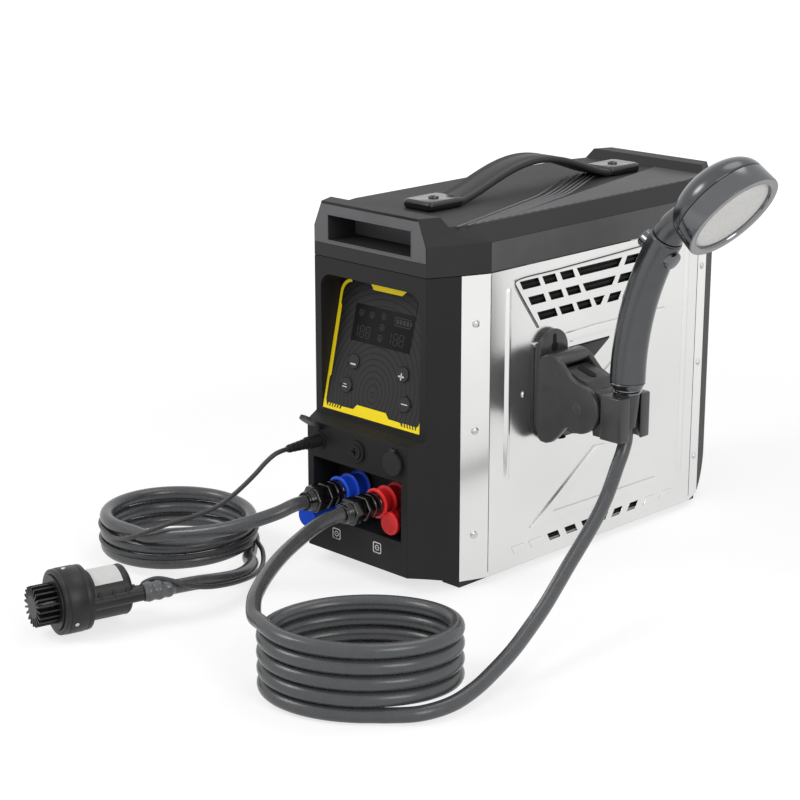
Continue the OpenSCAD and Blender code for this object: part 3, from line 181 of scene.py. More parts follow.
look("black_plastic", (31, 31, 32), 0.56, spec=0.25, grain=0.55, scale=1500, depth=0.0002,
     edge=0.0009)
look("cap_plastic", (47, 47, 48), 0.6, spec=0.28, grain=0.7, scale=1300, depth=0.00025,
     edge=0.0009)
look("lip_plastic", (106, 106, 108), 0.55, spec=0.3, grain=0.25, scale=1600, edge=0.0006)
look("stainless", (224, 224, 223), 0.24, metal=1, grain=0.25, scale=420, depth=0.00004, cloud=0.04,
     cloud_scale=9, rough_var=0.05, stretch=(1, 1, 0.05), wave=0.0016, wave_scale=7, edge=0.0006)
look("galvanised", (150, 151, 152), 0.42, metal=1, cloud=0.2, cloud_scale=90, edge=0.0004)
M["panel_grey"] = overlay_surface()
look("yellow", (255, 226, 30), 0.42, name="yellow_ink", spec=0.3, grain=0.1, cloud=0.03)
look("window", (16, 16, 17), 0.5, name="window_film", spec=0.15, grain=0.05, cloud=0.1)
look("digit", (52, 52, 54), 0.45, name="digit_print", spec=0.3, grain=0.05)
look("white_ink", (236, 236, 236), 0.5, spec=0.3, grain=0.1, cloud=0.02)
look("button_black", (44, 44, 46), 0.48, spec=0.3, grain=0.15, edge=0.0005)
look("board_green", (24, 92, 52), 0.4, cloud=0.15, cloud_scale=200)
look("rubber_black", (32, 32, 33), 0.52, spec=0.35, scale=1400, edge=0.0006)
look("strap_rubber", (48, 48, 49), 0.5, spec=0.4, grain=0.35, scale=1500, cloud=0.1,
     cloud_scale=60)
look("rubber_blue", (26, 88, 236), 0.38, spec=0.45, grain=0.2, cloud=0.1, cloud_scale=80)
look("rubber_red", (255, 44, 48), 0.4, spec=0.45, grain=0.2, cloud_scale=80)
look("gloss_black", (18, 18, 19), 0.22, grain=0.15, scale=900, edge=0.0006, cloud=0.15)
look("pump_black", (26, 26, 27), 0.42, spec=0.4, grain=0.35, scale=1300, edge=0.0007, cloud=0.15)
look("screw_steel", (200, 200, 202), 0.16, metal=1, grain=0.15, scale=900, cloud=0.1,
     cloud_scale=300, edge=0.0003)
look("holder_grey", (62, 62, 64), 0.25, spec=0.45, grain=0.2, scale=1300, edge=0.0014, cloud=0.1,
     cloud_scale=40)
look("handset_grey", (88, 89, 91), 0.24, metal=0.9, grain=0.2, scale=2200, depth=0.00006,
     cloud=0.06, cloud_scale=60, edge=0.0005)
look("ring_metal", (104, 105, 107), 0.17, metal=1, grain=0.12, scale=2000, depth=0.00004,
     cloud=0.05)
look("satin_metal", (150, 151, 153), 0.42, metal=1, grain=0.2, scale=2400, depth=0.00005,
     cloud=0.04)
look("chrome", (128, 129, 131), 0.1, metal=1, grain=0.05, cloud=0.04)
look("spray_white", (228, 227, 224), 0.5, spec=0.4, grain=0.25, scale=900, cloud=0.03, edge=0.0006)
look("copper", (184, 103, 62), 0.35, metal=1, cloud=0.2, cloud_scale=70)
look("brass_fitting", (190, 158, 88), 0.3, name="brass", metal=1, cloud=0.12, edge=0.0005)
look("valve_alloy", (140, 141, 143), 0.45, metal=1, cloud=0.15)
look("rotor_plastic", (60, 61, 63), 0.5)
look("battery_blue", (40, 70, 120), 0.45, cloud=0.12)
look("pump_white", (205, 205, 200), 0.45, cloud=0.05)
look("hose_grey", (80, 81, 83), 0.27, grain=0.08, scale=700, depth=0.0001, cloud=0.07,
     cloud_scale=120, rough_var=0.08)
look("cable_black", (58, 58, 60), 0.4, spec=0.45, grain=0.25, scale=1200, cloud=0.1,
     cloud_scale=120)
look("shrink_sleeve", (92, 93, 95), 0.3, spec=0.55, grain=0.9, scale=260, depth=0.0004, cloud=0.15,
     cloud_scale=220)
look("label_white", (226, 226, 224), 0.5, spec=0.4, grain=0.15, cloud=0.03, cloud_scale=150)
look("cap_plate", (30, 30, 31), 0.12, spec=0.6, grain=0.1, cloud=0.1)
look("cap_texture", (92, 92, 93), 0.6, spec=0.3, grain=1.0, scale=900, depth=0.00025, cloud=0.1)
# Lighter grey for the top ribs: painted highlight along the ridges.
look("painted_rib_highlight", (116, 116, 118), 0.42, spec=0.4)
look("cap_screw", (70, 70, 72), 0.2, metal=1, grain=0.1)
# Grey for painted shade lines in the side panels' grooves and bends.
look("painted_crease_shade", (74, 74, 75), 0.5, spec=0.3, grain=0.2)
look("fitting_black", (15, 15, 16), 0.17, spec=0.6, grain=0.12, scale=600)
look("screen_grey", (112, 113, 115), 0.35, metal=0.6, grain=0.4, scale=800)
# Near black: painted shade in the vents, keyhole, arm slot and screw sockets and along the
# triangle's top edge; also the head's dark seam and the holder's screw head.
look("painted_shade_and_seams", (17, 17, 18), 0.6, spec=0.2, grain=0.4)
look("triangle_grey", (62, 62, 64), 0.5, spec=0.3, grain=0.5, scale=1400)

# The trim is brighter in the photo than the lamps make it, so it gives off a little light.
ink = M["yellow"].node_tree.nodes["Principled BSDF"]
ink.inputs["Emission Color"].default_value = rgb(255, 226, 30)
ink.inputs["Emission Strength"].default_value = 0.2

for name, node in frame["nodes"].items():
    m = M[{"top_cover": "cap_plastic", "pump_body": "pump_black", "pump_strainer": "pump_black",
           "handle_strap": "strap_rubber"}.get(name, SLOT[name])]
    node.data.materials.clear()
    node.data.materials.append(m)


# ---- Mesh helpers ----

def piece(name, verts, faces, material, body, slot, sharp=40, bevel=0.0, segs=2, tidy=True):
    """A mesh from points in metres, with its edges rounded, riding on a body."""
    bm = bmesh.new()
    vs = [bm.verts.new(v) for v in verts]
    for f in faces:
        try:
            bm.faces.new([vs[i] for i in f])
        except ValueError:
            pass
    if tidy:
        bmesh.ops.remove_doubles(bm, verts=bm.verts, dist=1e-6)
        bmesh.ops.recalc_face_normals(bm, faces=bm.faces)
    if bevel:
        edges = [e for e in bm.edges
                 if len(e.link_faces) == 2 and e.calc_face_angle(0) > radians(30)]
        bmesh.ops.bevel(bm, geom=edges, offset=bevel / 1000, segments=segs, profile=0.5,
                        affect="EDGES", clamp_overlap=True)
    me = bpy.data.meshes.new(name)
    bm.to_mesh(me)
    bm.free()
    me.materials.append(M[material])
    me.shade_smooth()
    me.set_sharp_from_angle(angle=radians(sharp))
    ob = show(name, me)
    if body:
        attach(ob, body)
    return ob


class Build:
    """Collects several closed forms, in millimetres of a local frame, into one piece."""

    def __init__(self, frame_of=at):
        self.place, self.verts, self.faces = frame_of, [], []

    def add(self, points, faces):
        n = len(self.verts)
        self.verts += [self.place(*p) for p in points]
        self.faces += [[n + i for i in f] for f in faces]

    def prism(self, outline, low, high):
        """An outline in two axes drawn along the third one."""
        k = len(outline)
        self.add([(a, b, low) for a, b in outline] + [(a, b, high) for a, b in outline],
                 [list(range(k)), [k + i for i in reversed(range(k))]]
                 + [[i, (i + 1) % k, k + (i + 1) % k, k + i] for i in range(k)])

    def box(self, a, b):
        self.prism([(a[0], a[1]), (b[0], a[1]), (b[0], b[1]), (a[0], b[1])], a[2], b[2])

    def lathe(self, profile, centre=(0, 0, 0), axis=(1, 0, 0), sides=48):
        """A closed outline of (distance along, radius) turned round an axis."""
        ax = Vector(axis).normalized()
        u = ax.orthogonal().normalized()
        v = ax.cross(u)
        pts, rings = [], []
        for d, r in profile:
            if r <= 1e-6:
                rings.append([len(pts)])
                pts.append(tuple(Vector(centre) + ax * d))
            else:
                rings.append(list(range(len(pts), len(pts) + sides)))
                for i in range(sides):
                    t = 2 * pi * i / sides
                    pts.append(tuple(Vector(centre) + ax * d + r * (cos(t) * u + sin(t) * v)))
        faces = []
        for a, b in zip(rings, rings[1:]):
            for i in range(sides):
                j = (i + 1) % sides
                if len(a) == 1 and len(b) > 1:
                    faces.append([a[0], b[i], b[j]])
                elif len(b) == 1 and len(a) > 1:
                    faces.append([a[i], b[0], a[j]])
                elif len(a) > 1:
                    faces.append([a[i], b[i], b[j], a[j]])
        self.add(pts, faces)

    def done(self, name, material, body="case", slot="black_plastic", **more):
        return piece(name, self.verts, self.faces, material, body, slot, **more)


def cut(name, material, place, *prisms, body="case", slot="black_plastic", **more):
    """One piece of flat outlines, each drawn from a low to a high level of a local frame."""
    build = Build(place)
    for outline, low, high in prisms:
        build.prism(outline, low, high)
    return build.done(name, material, body, slot, **more)


def turned(name, material, centre, axis, sides, profile, body="case", slot="black_plastic",
           **more):
    """One piece of a closed outline turned round an axis."""
    build = Build()
    build.lathe(profile, centre, axis, sides)
    return build.done(name, material, body, slot, **more)


def border_of(outer, inner, low, high):
    """The prisms between two outlines with as many corners."""
    k = len(outer)
    return [([outer[i], outer[(i + 1) % k], inner[(i + 1) % k], inner[i]], low, high)
            for i in range(k)]


def smooth_path(points, step=3.0):
    """A centripetal Catmull-Rom curve through points, cut in even steps."""
    p = [Vector(q) for q in points]
    p = [2 * p[0] - p[1]] + p + [2 * p[-1] - p[-2]]
    fine = []
    for i in range(1, len(p) - 2):
        a, b, c, d = p[i - 1], p[i], p[i + 1], p[i + 2]
        t1 = max((b - a).length, 1e-6) ** 0.5
        t2 = t1 + max((c - b).length, 1e-6) ** 0.5
        t3 = t2 + max((d - c).length, 1e-6) ** 0.5
        n = max(6, int((c - b).length / 1.0))
        for k in range(n):
            t = t1 + (t2 - t1) * k / n

            def mix(q, r, start, end):
                return q * ((end - t) / (end - start)) + r * ((t - start) / (end - start))

            ab, bc, cd = mix(a, b, 0, t1), mix(b, c, t1, t2), mix(c, d, t2, t3)
            fine.append(mix(mix(ab, bc, 0, t2), mix(bc, cd, t1, t3), t1, t2))
    fine.append(p[-2])
    out, left = [fine[0]], 0.0
    for a, b in zip(fine, fine[1:]):
        seg = (b - a).length
        while left + seg >= step:
            a = a + (b - a) * ((step - left) / seg)
            seg = (b - a).length
            left = 0.0
            out.append(a)
        left += seg
    if left > step * 0.4:
        out.append(fine[-1])
    else:
        out[-1] = fine[-1]
    return out


def length(path):
    return sum((b - a).length for a, b in zip(path, path[1:]))


def tube(path, radius, sides=20, place=at):
    """Points and faces of a round tube; radius is a number or a function of the share along."""
    n = len(path)
    verts, faces = [], []
    way = [(path[min(i + 1, n - 1)] - path[max(i - 1, 0)]).normalized() for i in range(n)]
    side = way[0].orthogonal().normalized()
    for i in range(n):
        side = (side - side.dot(way[i]) * way[i]).normalized()
        other = way[i].cross(side)
        r = radius(i / (n - 1)) if callable(radius) else radius
        for k in range(sides):
            t = 2 * pi * k / sides
            verts.append(place(*(path[i] + r * (cos(t) * side + sin(t) * other))))
    for i in range(n - 1):
        for k in range(sides):
            j = (k + 1) % sides
            faces.append([i * sides + k, (i + 1) * sides + k, (i + 1) * sides + j, i * sides + j])
    faces += [list(range(sides)), [(n - 1) * sides + k for k in reversed(range(sides))]]
    return verts, faces


def wrap(rings, k):
    """The side and end faces over rings of k points each."""
    return [[r * k + i, r * k + (i + 1) % k, (r + 1) * k + (i + 1) % k, (r + 1) * k + i]
            for r in range(rings - 1) for i in range(k)] + [
        list(range(k)), [(rings - 1) * k + i for i in reversed(range(k))]]


# ---- Camera ----

camera = bpy.data.cameras.new("camera")
camera.lens, camera.sensor_width, camera.sensor_fit = 92.37, 36, "HORIZONTAL"
eye = show("camera", camera)
eye.location = (1.098757, -1.351925, 0.653554)
eye.rotation_euler = (radians(90 - 16.4079), 0, radians(44.8289))
bpy.context.scene.camera = eye
bpy.context.scene.view_settings.view_transform = "Standard"


# ---- Hoses and pump cable, along the part's own routes ----

AXIS_A, AXIS_B = Vector((0.709, 0.705, 0)), Vector((-0.705, 0.709, 0))


def turn(deg):
    return cos(radians(deg)), sin(radians(deg))


def oval(c, a, b, deg, z):
    co, si = turn(deg)
    return Vector((c[0], c[1], z)) + a * co * AXIS_A + b * si * AXIS_B


def oval_way(a, b, deg):
    co, si = turn(deg)
    return (-a * si * AXIS_A + b * co * AXIS_B).normalized()


# Outside diameters, and the height of the lowest turn's middle over the ground
HOSE, CABLE, LOW = 12.0, 4.2, 6.3
# Coils: middle, radii, start angle, turns and pitch; the cable lies outside the cold coil
HOT_MID, HOT_A, HOT_B, HOT_START, HOT_TURNS, HOT_PITCH = (172.5, -352), 73, 55, 200, 4.19, 12.7
COLD_MID, COLD_R, COLD_START, COLD_TURNS, COLD_PITCH = (-155, -260.5), 64.0, -130, 2.64, 13.2
CABLE_LAG, CABLE_TURNS = 20 / 360, 1.57
CABLE_OUT = sqrt((HOSE / 2 + CABLE / 2 + 0.5) ** 2 - (COLD_PITCH / 2) ** 2)


def V(*p):
    return Vector(p)


def hot_point(f):
    return oval(HOT_MID, HOT_A, HOT_B, HOT_START + 360 * f, LOW + (HOT_TURNS - f) * HOT_PITCH)


def hot_way(f):
    return oval_way(HOT_A, HOT_B, HOT_START + 360 * f)


def cold_point(f, r=COLD_R, drop=0.0):
    return oval(COLD_MID, r, r, COLD_START - 360 * f, LOW + (COLD_TURNS - f) * COLD_PITCH - drop)


def cold_way(f):
    return -oval_way(1, 1, COLD_START - 360 * f)


def cable_point(f):
    return cold_point(CABLE_LAG + f, COLD_R + CABLE_OUT, COLD_PITCH / 2)


way_in, way_out = hot_way(0), hot_way(HOT_TURNS)
hot_first, hot_last = hot_point(0) - HOSE * way_in, hot_point(HOT_TURNS) + HOSE * way_out
cold_first = cold_point(0) - HOSE * cold_way(0)
cold_last = cold_point(COLD_TURNS) + HOSE * cold_way(COLD_TURNS)
cable_first = cable_point(0) - CABLE * cold_way(CABLE_LAG)
cable_way_out = cold_way(CABLE_LAG + CABLE_TURNS)
cable_last = cable_point(CABLE_TURNS) + CABLE * cable_way_out
PUMP_AT, PUMP_TURN = V(-69, -389, 27.3), 76
pc, ps = turn(PUMP_TURN)


def pump_point(x, y, z):
    return PUMP_AT + V(x * pc - y * ps, x * ps + y * pc, z)


def on_pump(x, y, z):
    return at(*pump_point(x, y, z))


outlet_end = pump_point(8, -19, 0)
pump_way = V(pc, ps, 0)
cold_exit, hot_exit, plug_end = V(-23, -229, 74), V(23, -229, 74), V(-46.5, -226, 115.5)
nut_end = V(175, -42, 144)

cold_route = [
    cold_exit, cold_exit - V(0, 12, 0), (-26, -255, 70.5), (-36, -272, 65), (-52, -288, 58),
    (-73, -302, 52), (-97, -313, 47), cold_first - 14 * cold_way(0), cold_first]
cold_route += [cold_point(i * COLD_TURNS / 63) for i in range(64)] + [
    cold_last, cold_last + 14 * cold_way(COLD_TURNS), (-76, -244, 8), (-60, -263, 11),
    (-48, -285, 15), (-42, -309, 20), (-41, -334, 24.5),
    outlet_end + 26 * pump_way, outlet_end + 12 * pump_way, outlet_end]
cable_route = [
    plug_end, plug_end - V(0, CABLE, 0), (-47, -240, 114), (-50, -248, 108), (-54, -256, 99),
    (-60, -264, 89), (-67, -273, 79), (-75, -284, 70), (-84, -297, 64), (-94, -311, 59.5),
    (-105, -323, 54), (-118, -331, 47), (-132, -335, 40.5),
    cable_first - 12 * cold_way(CABLE_LAG), cable_first]
cable_route += [cable_point(i * CABLE_TURNS / 38) for i in range(39)] + [
    cable_last, cable_last + 6 * cable_way_out, (-84.5, -224, 12), (-68.5, -237.5, 9),
    (-52.3, -257.5, 10), (-39.4, -281.7, 14), (-33, -308, 18), (-31.6, -333.5, 23),
    pump_point(43, -27.2, 3), pump_point(32, -23.5, 7.8), pump_point(22, -15.5, 9),
    pump_point(13, -10.2, 5), pump_point(11, -9.4, 2), pump_point(5.05, -9.4, 2)]
hot_route = [
    hot_exit, hot_exit - V(0, 12, 0), (27, -263, 72.7), (37, -290, 71.2), (49, -318, 69.4),
    (64, -346, 67.3), (80, -371, 65.2), (96, -391, 63.5), hot_first - 14 * way_in, hot_first]
hot_route += [hot_point(i * HOT_TURNS / 101) for i in range(102)] + [
    hot_last, hot_last + 12 * way_out, (242, -359, 7), (249.5, -333, 8.5), (248.5, -306, 12),
    (244, -280, 17), (238, -253, 23), (230.5, -226, 30.5), (222.5, -199, 39),
    (214, -173, 48.5), (206, -148, 58.5), (198.5, -122, 69.5), (192, -99, 80.5),
    (186, -80, 91.5), (181.4, -67, 101), (178, -56.5, 111), (175.8, -47, 122),
    nut_end - V(0, 0, 12), nut_end]


def hose(name, path, diameter, material, body, sides=22):
    return piece(name, *tube(path, diameter / 2, sides), material, body, material, sharp=60)


cold_path = smooth_path(cold_route)
cold_hose = hose("cold_hose", cold_path, HOSE, "hose_grey", "case")
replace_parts(cold_hose, "cold_hose_lead", "cold_hose_coil", "cold_hose_tail")
cable_path = smooth_path(cable_route, 2.0)
pump_cable = hose("pump_cable", cable_path, CABLE, "cable_black", "case", 16)
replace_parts(pump_cable, "pump_cable_lead", "pump_cable_coil", "pump_cable_tail")
whole = smooth_path(hot_route)
parting = next(i for i, q in enumerate(whole) if i > len(whole) * 0.8 and q.z > 122)
hot_path, top_path = whole[:parting + 1], whole[parting:]
hot_hose = hose("hot_hose", hot_path, HOSE, "hose_grey", None)
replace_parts(hot_hose, "hot_hose_lead", "hot_hose_coil", "hot_hose_rise")
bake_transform(hot_hose)
hose_top = hose("hot_hose_top", smooth_path(top_path, 1.0), HOSE, "hose_grey", None)
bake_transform(hose_top)

# The clear sleeve that holds hose and cable together behind the pump
band = [pump_point(8.6 + i, -19 - 0.9 * sin(pi * i / 26), 0.8) for i in range(27)]
shrunk = tube(band, lambda s: 7.6 + 0.9 * sin(9.5 * s) ** 2 - 1.1 * s ** 6, 28)
piece("shrink_sleeve", *shrunk, "shrink_sleeve", "case", "hose_grey", sharp=60)

# ---- Side panels: pressed ribs, bands and blank slots ----

def ridge(name, lines, half, high, material, body, slot, place, across=7, lift=0.02):
    """Soft raised ribs along lines of (a, b) points on a plane; each rib fades at its ends."""
    verts, faces = [], []
    for line in lines:
        path = smooth_path([(a, b, 0) for a, b in line], 2.0)
        n, total = len(path), length(path)
        first, run = len(verts), 0.0
        for i, q in enumerate(path):
            if i:
                run += (q - path[i - 1]).length
            way = (path[min(i + 1, n - 1)] - path[max(i - 1, 0)]).normalized()
            side = Vector((-way.y, way.x, 0))
            end = min(run, total - run, half)
            fade = max(0.03, sqrt(max(0.0, 1 - (1 - end / half) ** 2)))
            for k in range(across):
                t = -1 + 2 * k / (across - 1)
                p = q + side * half * t * fade
                verts.append(place(p.x, p.y, high * fade * (1 + cos(pi * t)) / 2 + lift))
        for i in range(n - 1):
            for k in range(across - 1):
                a = first + i * across + k
                faces.append([a, a + 1, a + across + 1, a + across])
    return piece(name, verts, faces, material, body, slot, sharp=80, tidy=False)


# The pressed Z and its mirror, across and up; the panel's outer face and the vent liner
Z_BAND = [(-66.5, 36.7), (32.8, 35.2), (117, 37.4), (111, 43), (-36.6, 45.3), (36.9, 92.3),
          (20.6, 93.8)]
PANEL_X = 90
LINER, SLATS = (85.6, 86.6), (86.5, 88.2)
for tag, s in (("right", 1), ("left", -1)):
    def side_at(y, z, out, s=s):
        return at(s * (PANEL_X + out), y, z)

    def pressed(name, lines, half, high, material="stainless", across=7, lift=0.02):
        ridge(tag + name, lines, half, high, material, "case", "stainless", side_at, across, lift)

    pressed("_panel_ribs", [[(-97.5, 88), (-97.5, 170), (-97.5, 259)],
                            [(147.5, 38), (147.5, 150), (147.5, 262)]], 3.9, 2.1)
    border = [(-58.5, 217), (-88.5, 258), (-90.6, 261.6), (-87, 263.6), (-40, 264.7), (0, 265.6),
              (40, 266.5), (82, 267.4), (88, 266.8), (88.6, 263), (64, 219)]
    pressed("_vent_border", [border], 2.0, 0.7, across=5)
    # Thin grey lines along the vent border, along a groove and at the flanges' bends are painted
    # shade.
    pressed("_groove_shade_lines", [border, [(-22, 205.5), (14, 205.5), (50, 205.5)]], 0.62, 0.12,
            "painted_crease_shade", 3, 0.72)
    pressed("_bend_shade_lines", [[(-119.4, 10), (-119.4, 140), (-119.4, 274)],
                            [(164.4, 10), (164.4, 140), (164.4, 274)]], 0.4, 0.1,
            "painted_crease_shade", 3, 0.03)
    pads = [([(y1, 25.4), (y2, 25.4), (y2 + lean, 18), (y1 + lean, 18)], -0.1, 0.55)
            for y1, y2, lean in ((-89.4, -72.9, 4), (-66.4, -50.5, 4), (99.3, 112, -5),
                                 (123.5, 135.8, -5))]
    cut(tag + "_pressed_forms", "stainless", side_at, *pads, (Z_BAND, -0.1, 1.7),
        ([(50 - y, 242 - z) for y, z in Z_BAND], -0.1, 1.7), slot="stainless", bevel=0.5, segs=3,
        sharp=50)
    cut(tag + "_triangle", "triangle_grey", side_at,
        ([(-18.9, 192.5), (37.8, 192.3), (36.5, 189.8), (5.8, 170.3), (3.8, 171)], -0.3, 0.25),
        bevel=0.15)
    # A near-black strip along the triangle's top edge is painted shade.
    cut(tag + "_triangle_shade", "painted_shade_and_seams", side_at,
        ([(-17.5, 192.4), (37.2, 192.2), (37.6, 190.7), (-15.8, 190.6)], 0.2, 0.38), bevel=0.05)
    # The near-black liner and slats behind the vent openings are painted shade of the case's inside.
    slats = [(-92, z - 1.4, 90, z + 1.0) for z in (257.2, 242.2, 227.0)] + [(-46, 20.6, 96, 22.4)]
    cut(tag + "_vent_liner", "painted_shade_and_seams", lambda y, z, x, s=s: at(s * x, y, z),
        ([(-93, 212), (90, 212), (92, 268), (-93, 268)], *LINER),
        ([(-46, 12), (96, 12), (96, 30), (-46, 30)], *LINER),
        *[([(a, b), (c, b), (c, d), (a, d)], *SLATS) for a, b, c, d in slats], bevel=0.3)


# ---- Screws with domed heads ----

def dome(build, centre, axis, r, h, sunk=0.4, sides=28):
    build.lathe([(-sunk, 0), (-sunk, r * 0.96), (0.0, r), (h * 0.28, r * 0.97), (h * 0.6, r * 0.8),
                 (h * 0.86, r * 0.5), (h, 0)], centre, axis, sides)


screws = Build()
for s in (-1, 1):
    for z in (47, 140, 233):
        for y, d in ((-132.5, -1), (177.5, 1)):
            a = atan2(9.5, 25)
            dome(screws, (s * 85.3, y, z), (s * cos(a), d * sin(a), 0), 3.4, 1.9)
    dome(screws, (s * 90, -14.5, 199.3), (s, 0, 0), 3.0, 1.5)
    dome(screws, (s * 90, -76.8, 161.5), (s, 0, 0), 3.0, 1.5)
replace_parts(screws.done("domed_screws", "screw_steel", slot="screw_steel", sharp=45),
            "casing_screws")
# The near-black hexagons on the handle screws are painted shade in their sockets.
screws, sockets = Build(), Build()
for y in (-95.5, 146.5):
    screws.lathe([(-0.3, 0), (-0.3, 4.6), (0.7, 4.6), (1.2, 4.1), (1.3, 2.6), (0.5, 2.2), (0.5, 0)],
                 (0, y, 323.05), UP, 32)
    sockets.lathe([(0, 0), (0, 2.1), (0.12, 2.1), (0.12, 0)], (0, y, 323.6), UP, 6)
screws.done("handle_screws", "cap_screw", slot="screw_steel", sharp=45)
sockets.done("handle_screw_sockets", "painted_shade_and_seams", slot="screw_steel")

# ---- Top cover: fanned ribs, grip bezels, seams ----

TOP_Z, FRONT_Y, REAR_Y = 314.5, -173, 216
# The first ribs bend at a knee and flare inward; the others run straight to a common end.
BENT, FLARE, FAN_END = 6, 0.476, 196
fans = []
for i in range(29):
    y0, x0 = -144 + 10.5 * i, 73.3 if i == 0 else 75.4
    if i < BENT:
        slope, knee, stop = -0.29 + 0.006 * i, 6.3 + 5 * i, 116 + 4 * i
        xk = x0 + slope * (knee - y0)
        fans.append([(x0, y0), (xk - slope * 40, knee - 40), (xk - slope * 9, knee - 9)]
                    + [(xk - FLARE * d, knee + d) for d in (9, 60, stop - knee)])
    else:
        x1 = 14 + 2.45 * (i - BENT)
        fans.append([(x0, y0), ((x0 + x1) / 2, (y0 + FAN_END) / 2), (x1, FAN_END)])
# The ribs are lighter grey than the cover: painted highlight along the ridges.
ridge("top_ribs", fans, 0.7, 1.0, "painted_rib_highlight", "case", "black_plastic",
      lambda x, y, up: at(x, y, TOP_Z + up), 5)
skin = Build()
for side in (-1, 1):
    skin.box((side * 90.25, -119.5, 275.5), (side * 89.6, 164.5, 300.6))
skin.done("cover_texture", "cap_texture", bevel=0.1)
well = Build()
well.box((-49.6, -141.0, 290.4), (49.6, -139.6, 311.6))
well.done("grip_back", "lip_plastic", bevel=0.3)
LIP = [(-66.6, 287), (66.6, 287), (66.2, 300.5), (57.3, 322.6), (-57.3, 322.6), (-66.2, 300.5)]
GRIP = [(-50.4, 289.6), (50.4, 289.6), (50.4, 300.5), (50.4, 312.4), (-50.4, 312.4),
        (-50.4, 300.5)]


def front_at(x, z, out):
    return at(x, FRONT_Y - out, z)


cut("front_lip_face", "lip_plastic", front_at, *border_of(LIP, GRIP, -0.1, 0.35))
cut("front_lip_edge", "black_plastic", front_at,
    ([(-57.6, 322.7), (57.6, 322.7), (57.2, 320.9), (-57.2, 320.9)], 0.3, 0.5), bevel=0.08)
rim = [V(*p, 0.25) for p in ((-50, 290.4), (-50, 311.6), (-49.2, 312.3), (49.2, 312.3),
                             (50, 311.6), (50, 290.4), (49.2, 289.8), (-49.2, 289.8),
                             (-50, 290.4))]
piece("front_grip_rim", *tube(rim, 0.55, 8, front_at), "lip_plastic", "case", "black_plastic",
      sharp=60)
cut("rear_lip_face", "cap_plastic", lambda x, z, out: at(x, REAR_Y + out, z), (LIP, -0.1, 0.3),
    bevel=0.15)

# ---- Handle strap and its end caps ----

EDGE = [(-15.4, -1.6), (-15.5, 0.8), (-15.1, 2.3), (-13.9, 3.0), (-12.5, 2.8), (-11.4, 1.9),
        (-9.8, 1.6), (-7.6, 1.8), (-6.2, 2.7), (-4.6, 3.0)]
STRAP = EDGE + [(-x, z) for x, z in EDGE[::-1]] + [(14.2, -2.8), (12.8, -3.0), (-12.8, -3.0),
                                                   (-14.2, -2.8)]
# The strap runs flat under its caps and arches between them.
STRAP_Y, STRAP_LONG, STRAP_Z, ARCH, UNDER_CAP = -74, 199, 318.35, 23.5, 13
line = [V(0, STRAP_Y + STRAP_LONG * i / 56, STRAP_Z + ARCH * max(sin(pi * i / 56), 0) ** 1.35)
        for i in range(57)]
line = [V(0, STRAP_Y - UNDER_CAP, STRAP_Z), *line,
        V(0, STRAP_Y + STRAP_LONG + UNDER_CAP, STRAP_Z)]
verts = []
for i, q in enumerate(line):
    way = (line[min(i + 1, len(line) - 1)] - line[max(i - 1, 0)]).normalized()
    verts += [at(q.x + x, q.y - way.z * h, q.z + way.y * h) for x, h in STRAP]
strap = piece("carrying_strap", verts, wrap(len(line), len(STRAP)), "strap_rubber", "case",
              "rubber_black", sharp=70)
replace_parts(strap, "handle_strap")


def rounded_rect(x0, y0, x1, y1, r, n=6):
    out = []
    for cx, cy, a in ((x1 - r, y1 - r, 0), (x0 + r, y1 - r, 90), (x0 + r, y0 + r, 180),
                      (x1 - r, y0 + r, 270)):
        out += [(cx + r * cos(radians(a + 90 * i / n)), cy + r * sin(radians(a + 90 * i / n)))
                for i in range(n + 1)]
    return out


def cap_at(x, y, z):
    return at(x, y, 314.55 + z)


CAP_SPANS = ((-117, -74), (125, 168))
end_caps = cut("strap_end_caps", "gloss_black", cap_at,
               *[(rounded_rect(-17.2, a, 17.2, b, 5), 0, 7.9) for a, b in CAP_SPANS],
               slot="gloss_black", bevel=2.6, segs=5, sharp=60)
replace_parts(end_caps, "handle_end_caps")
cut("strap_top_plates", "cap_plate", cap_at,
    *[(rounded_rect(-14.9, a + 2.4, 14.9, b - 2.2, 3.5), 7.6, 8.3) for a, b in CAP_SPANS],
    slot="gloss_black", bevel=0.35, sharp=50)

# ---- Control panel: trim, display marks and button signs ----

# Low and high levels over the slope: yellow ink, display print, button signs
INK, PRINT, SIGN = (1.5, 1.85), (1.68, 1.75), (2.26, 2.36)


def teeth(u):
    out = []
    for i in range(5):
        a = u + 3.2 * i
        out += [(a, 2.6), (a + 1.0, 5.5), (a + 2.5, 5.5), (a + 1.5, 2.6)]
    return out


CORNER = [radians(a) for a in (15, 35, 55, 75, 90)]
bar = [(-59, 0.3), (59, 0.3), (59, 21), (57.6, 17), (56.9, 7.6), (54.6, 5.4), (54.4, 2.6)]
bar += [(-u, v) for u, v in teeth(-53.2)]
bar += [(37.2, 2.6), (34.8, 5.4), (20.9, 5.6), (16.8, 10), (-18.3, 10), (-22, 5.5), (-36.2, 5.2),
        (-37.4, 2.6)]
bar += list(reversed(teeth(-53.6))) + [(-54.2, 2.6), (-55.6, 5.2), (-56.7, 8), (-56.7, 27.5),
                                       (-55.1, 30), (-55.1, 91), (-56.5, 93.2), (-56.5, 102)]
bar += [(-56.5 + 9.5 * (1 - cos(a)), 102 + 11 * sin(a)) for a in CORNER]
bar += [(-47.6, 115.5)] + [(-47.6 - 11.4 * sin(a), 104 + 11.5 * cos(a)) for a in CORNER]
trim = cut("yellow_trim", "yellow", on_slope, (bar, *INK),
           ([(-24.2, 115.6), (-19.8, 110.4), (14.5, 110.6), (20, 115.6)], *INK),
           ([(58.2, 27), (59, 30.5), (59, 35), (58, 31.5)], *INK), slot="yellow")
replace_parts(trim, "overlay_trim")
